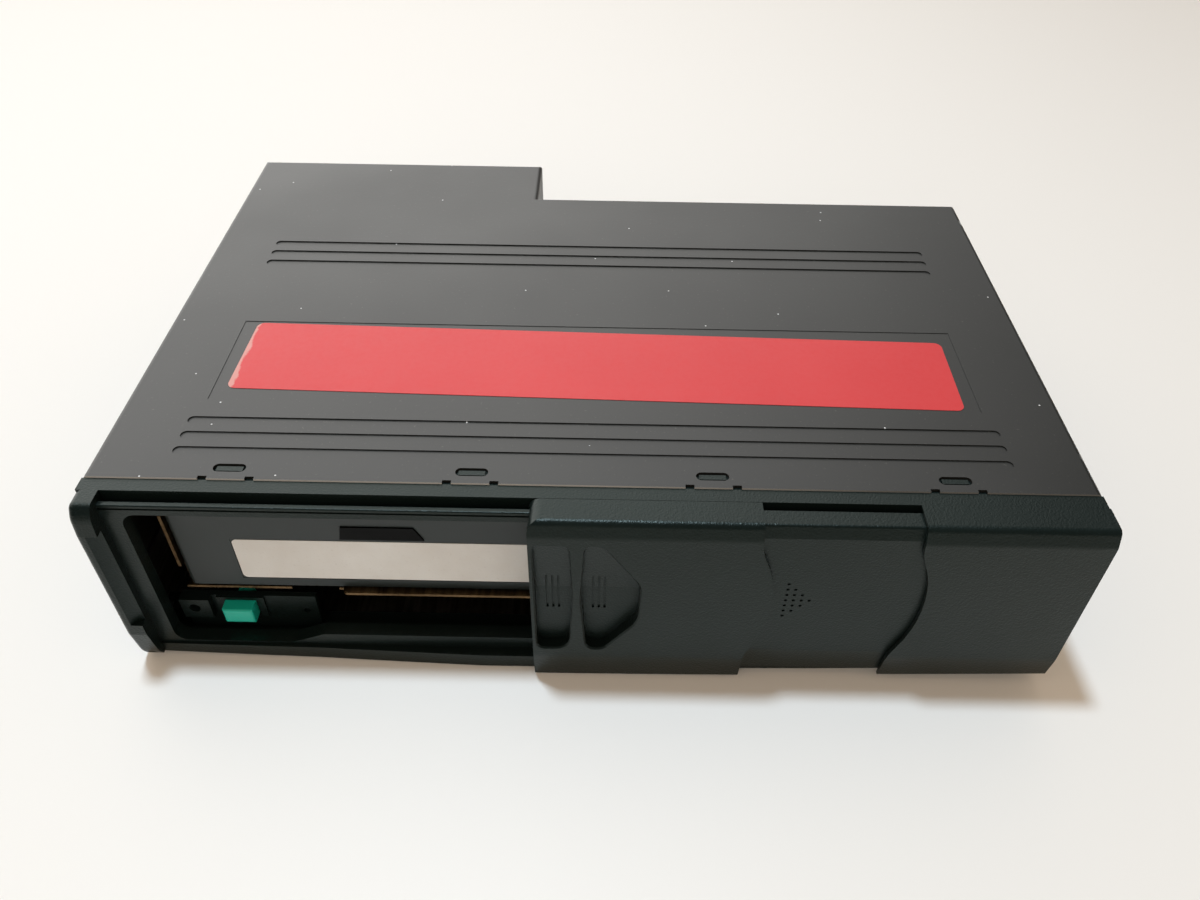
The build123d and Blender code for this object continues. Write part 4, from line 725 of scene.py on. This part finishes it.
class CHANGER_OT_thread(bpy.types.Operator):
    """Winds the thread on the lead screw of the pickup"""

    bl_idname = "changer.thread"
    bl_label = "Lead screw thread"

    def execute(self, context):
        cfg = context.scene.changer_fittings
        margin = 2.5 * MM  # plain ends of the screw
        middle = (SCREW_LOW + SCREW_HIGH) / 2
        values = {
            "Pitch": cfg.thread_pitch,
            "Turns": (SCREW_HIGH.y - SCREW_LOW.y - 2 * margin) / cfg.thread_pitch,
            "Radius": (SCREW_HIGH.x - SCREW_LOW.x) / 2,
            "Profile Radius": cfg.thread_height,
            "Profile Sides": 4,
            "Steps": cfg.coil_steps,
            "Start": (middle.x, SCREW_LOW.y + margin, middle.z),
            "Finish": NODES["sled_screw"].data.materials[0],
        }
        thread = grown("lead_screw_thread", coil_tree(), values, bpy.data.meshes.new("thread"))
        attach(thread, "sled_screw")
        return {"FINISHED"}


class CHANGER_OT_spring(bpy.types.Operator):
    """Winds the eject button's spring from round wire"""

    bl_idname = "changer.spring"
    bl_label = "Eject spring"

    def execute(self, context):
        cfg = context.scene.changer_fittings
        low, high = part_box("eject_spring")
        wire = cfg.wire / 2  # its radius
        middle = (low + high) / 2
        values = {
            "Pitch": (high.y - low.y - 2 * wire) / cfg.spring_turns,
            "Turns": cfg.spring_turns,
            "Radius": (high.x - low.x) / 2 - wire,
            "Profile Radius": wire,
            "Profile Sides": 10,
            "Steps": cfg.coil_steps,
            "Start": (middle.x, low.y + wire, middle.z),
            "Finish": NODES["eject_spring"].data.materials[0],
        }
        spring = grown("round_wire_spring", coil_tree(), values, bpy.data.meshes.new("spring"))
        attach(spring, "case")
        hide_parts("eject_spring")
        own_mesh(spring)
        return {"FINISHED"}


class CHANGER_OT_legs(bpy.types.Operator):
    """Sets the legs of the flat packages on the board"""

    bl_idname = "changer.legs"
    bl_label = "Package legs"

    def execute(self, context):
        cfg = context.scene.changer_fittings
        tree = bpy.data.node_groups.new("Legs", "GeometryNodeTree")
        for name, kind in (("Geometry", "Geometry"), ("Pitch", "Float"), ("Leg", "Vector"),
                           ("Finish", "Material")):
            tree.interface.new_socket(name, in_out="INPUT", socket_type="NodeSocket" + kind)
        tree.interface.new_socket("Geometry", in_out="OUTPUT", socket_type="NodeSocketGeometry")
        given = add(tree, "NodeGroupInput").outputs
        sides = add(tree, "GeometryNodeMeshToCurve", {"Mesh": given["Geometry"]})
        spots = add(
            tree, "GeometryNodeCurveToPoints", {"Curve": sides, "Length": given["Pitch"]},
            mode="LENGTH",
        )
        leg = add(tree, "GeometryNodeMeshCube", {"Size": given["Leg"]})
        turned = add(
            tree, "FunctionNodeAlignRotationToVector", {"Vector": spots.outputs["Tangent"]},
            axis="Y",
        )
        placed = add(
            tree, "GeometryNodeInstanceOnPoints",
            {"Points": spots, "Instance": leg, "Rotation": turned},
        )
        real = add(tree, "GeometryNodeRealizeInstances", {"Geometry": placed})
        done = add(tree, "GeometryNodeSetMaterial", {"Geometry": real, "Material": given["Finish"]})
        add(tree, "NodeGroupOutput", {0: done})
        # Tin over copper: soft silver, duller than nickel.
        tin = rolled("Tinned copper", "#A9AAA8", "#D2D3D0", 0.3)
        values = {"Pitch": cfg.leg_pitch, "Leg": tuple(cfg.leg_size), "Finish": tin}
        legs = grown("package_legs", tree, values, self.long_sides())
        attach(legs, "case")
        return {"FINISHED"}

    def long_sides(self):
        """One edge along each long side of every flat package."""
        corners, inset = 8, 1.5 * MM  # of a box, and from a package's end to its first leg
        z = BOARD_TOP + 0.26 * MM  # middle of a leg, which rests on the board
        work = bmesh.new()
        work.from_mesh(NODES["board_chips"].data)
        bmesh.ops.remove_doubles(work, verts=work.verts, dist=0.01 * MM)
        spots, edges, seen = [], [], set()
        # Each package is an island of joined vertices.
        for first in work.verts:
            if first in seen:
                continue
            island, queue = {first}, [first]
            while queue:
                for edge in queue.pop().link_edges:
                    new = set(edge.verts) - island
                    island |= new
                    queue += new
            seen |= island
            if len(island) != corners:  # a round capacitor
                continue
            xs, ys = [v.co.x for v in island], [v.co.y for v in island]
            low, high = Vector((min(xs), min(ys))), Vector((max(xs), max(ys)))
            if high.x - low.x > high.y - low.y:
                rows = [((low.x + inset, y), (high.x - inset, y)) for y in (low.y, high.y)]
            else:
                rows = [((x, low.y + inset), (x, high.y - inset)) for x in (low.x, high.x)]
            for ends in rows:
                edges.append((len(spots), len(spots) + 1))
                spots += [(*end, z) for end in ends]
        work.free()
        mesh = bpy.data.meshes.new("package sides")
        mesh.from_pydata(spots, edges, [])
        return mesh


# ---- operator: the photo set -----------------------------------------------------------


class CHANGER_OT_stage(bpy.types.Operator):
    """Sets the table, the lamps, the room and the camera"""

    bl_idname = "changer.stage"
    bl_label = "Stage"

    def execute(self, context):
        cfg = context.scene.changer_stage
        self.table(context, cfg)
        # A small ceiling lamp draws the roundings, a large window behind on the left gives the
        # cover its sheen, and a fill in front stays out of the reflections.
        self.lamp(
            context, "ceiling", place=(-0.20, 0.07, 1.60), size=0.15, watts=cfg.key_watts,
            code="#DCEFFF",
        )
        self.lamp(
            context, "window", place=(-1.35, 2.10, 1.20), size=1.9, watts=cfg.soft_watts,
            code="#F6FAFF",
        )
        fill = self.lamp(
            context, "fill", place=(-0.3, -1.3, 0.9), size=0.9, watts=cfg.fill_watts,
            code="#FFFFFF",
        )
        fill.visible_glossy = False
        self.room(context, cfg)
        self.camera(context, cfg)
        context.scene.view_settings.view_transform = "Standard"
        return {"FINISHED"}

    def table(self, context, cfg):
        """Table top that runs past the picture on all sides."""
        left, front, right, back = -4, -4, 4, 6
        corners = [(left, front, 0), (right, front, 0), (right, back, 0), (left, back, 0)]
        mesh = bpy.data.meshes.new("table")
        mesh.from_pydata(corners, [], [(0, 1, 2, 3)])
        table = bpy.data.objects.new("table", mesh)
        context.scene.collection.objects.link(table)
        mesh.materials.append(white_laminate(cfg))

    def lamp(self, context, name, place, size, watts, code):
        """Round lamp that looks at the changer."""
        data = bpy.data.lights.new(name, "AREA")
        data.shape, data.size, data.energy, data.color = "DISK", size, watts, srgb(code)[:3]
        lamp = bpy.data.objects.new(name, data)
        lamp.location = place
        lamp.rotation_euler = (-Vector(place)).to_track_quat("-Z", "Y").to_euler()
        context.scene.collection.objects.link(lamp)
        return lamp

    def room(self, context, cfg):
        """Room whose light is even and warm, but whose reflections are bright back left."""
        world = bpy.data.worlds.new("room")
        world.use_nodes = True
        tree = world.node_tree
        tree.nodes.clear()
        away = add(tree, "TexCoord").outputs["Generated"]
        window = Vector((-0.50, 0.65, 0.55)).normalized()
        dark_from, bright_from = 0.5, 0.9  # cosines of the angle to the window
        side = add(
            tree, "VectorMath", {0: away, 1: window}, operation="DOT_PRODUCT"
        ).outputs["Value"]
        share = add(
            tree, "MapRange", {"Value": side, "From Min": dark_from, "From Max": bright_from}
        )
        seen = add(
            tree, "MapRange", {"Value": share, "To Min": cfg.dark_side, "To Max": cfg.bright_side}
        )
        rays = add(tree, "LightPath").outputs
        mirrored = rays["Is Glossy Ray"]
        tone = add(
            tree, "Mix", {0: mirrored, 6: (*cfg.ambient, 1), 7: srgb("#FFFDFA")},
            data_type="RGBA",
        )
        strength = add(tree, "Mix", {0: mirrored, 2: cfg.ambient_strength, 3: seen})
        light = add(tree, "Background", {"Color": tone.outputs[2], "Strength": strength})
        # Behind the table's edge the camera sees a wall, a little darker than the table.
        wall = add(tree, "Background", {"Color": (*cfg.table, 1), "Strength": 0.95})
        shown = add(tree, "MixShader", {0: rays["Is Camera Ray"], 1: light, 2: wall})
        add(tree, "OutputWorld", {"Surface": shown})
        context.scene.world = world

    def camera(self, context, cfg):
        """Camera of the photograph, from its place, tilt, turn and roll."""
        cos, sin = math.cos, math.sin
        level = Vector((sin(cfg.yaw), cos(cfg.yaw), 0)) * cos(cfg.pitch)
        ahead = level - Vector((0, 0, sin(cfg.pitch)))
        right = Vector((cos(cfg.yaw), -sin(cfg.yaw), 0))
        up = right.cross(ahead)
        x = cos(cfg.roll) * right + sin(cfg.roll) * up
        y = -sin(cfg.roll) * right + cos(cfg.roll) * up
        data = bpy.data.cameras.new("camera")
        data.sensor_width, data.lens, data.clip_start = 36, cfg.lens, 0.01
        camera = bpy.data.objects.new("camera", data)
        turn = Matrix((x, y, -ahead)).transposed().to_4x4()
        camera.matrix_world = Matrix.Translation(cfg.eye) @ turn
        context.scene.collection.objects.link(camera)
        context.scene.camera = camera


# ---- panel and registration ------------------------------------------------------------

SETTINGS = {
    "changer_case": ChangerCase,
    "changer_front": ChangerFront,
    "changer_magazine": ChangerMagazine,
    "changer_fittings": ChangerFittings,
    "changer_stage": ChangerStage,
}
OPERATORS = (
    CHANGER_OT_case,
    CHANGER_OT_label,
    CHANGER_OT_front,
    CHANGER_OT_magazine,
    CHANGER_OT_eject,
    CHANGER_OT_deck,
    CHANGER_OT_board,
    CHANGER_OT_thread,
    CHANGER_OT_spring,
    CHANGER_OT_legs,
    CHANGER_OT_stage,
)


class CHANGER_PT_panel(bpy.types.Panel):
    """Lists the changer's operators and settings"""

    bl_label = "Car disc changer"
    bl_space_type = "VIEW_3D"
    bl_region_type = "UI"
    bl_category = "Changer"

    def draw(self, context):
        for operator in OPERATORS:
            self.layout.operator(operator.bl_idname)
        for group, kind in SETTINGS.items():
            box = self.layout.box()
            for name in kind.__annotations__:
                box.prop(getattr(context.scene, group), name)


CLASSES = (*SETTINGS.values(), *OPERATORS, CHANGER_PT_panel)


def register():
    for cls in CLASSES:
        bpy.utils.register_class(cls)
    for name, kind in SETTINGS.items():
        setattr(bpy.types.Scene, name, PointerProperty(type=kind))


def unregister():
    for name in SETTINGS:
        delattr(bpy.types.Scene, name)
    for cls in reversed(CLASSES):
        bpy.utils.unregister_class(cls)


def main():
    register()
    for operator in OPERATORS:
        area, name = operator.bl_idname.split(".")
        getattr(getattr(bpy.ops, area), name)()


if __name__ == "__main__":
    main()
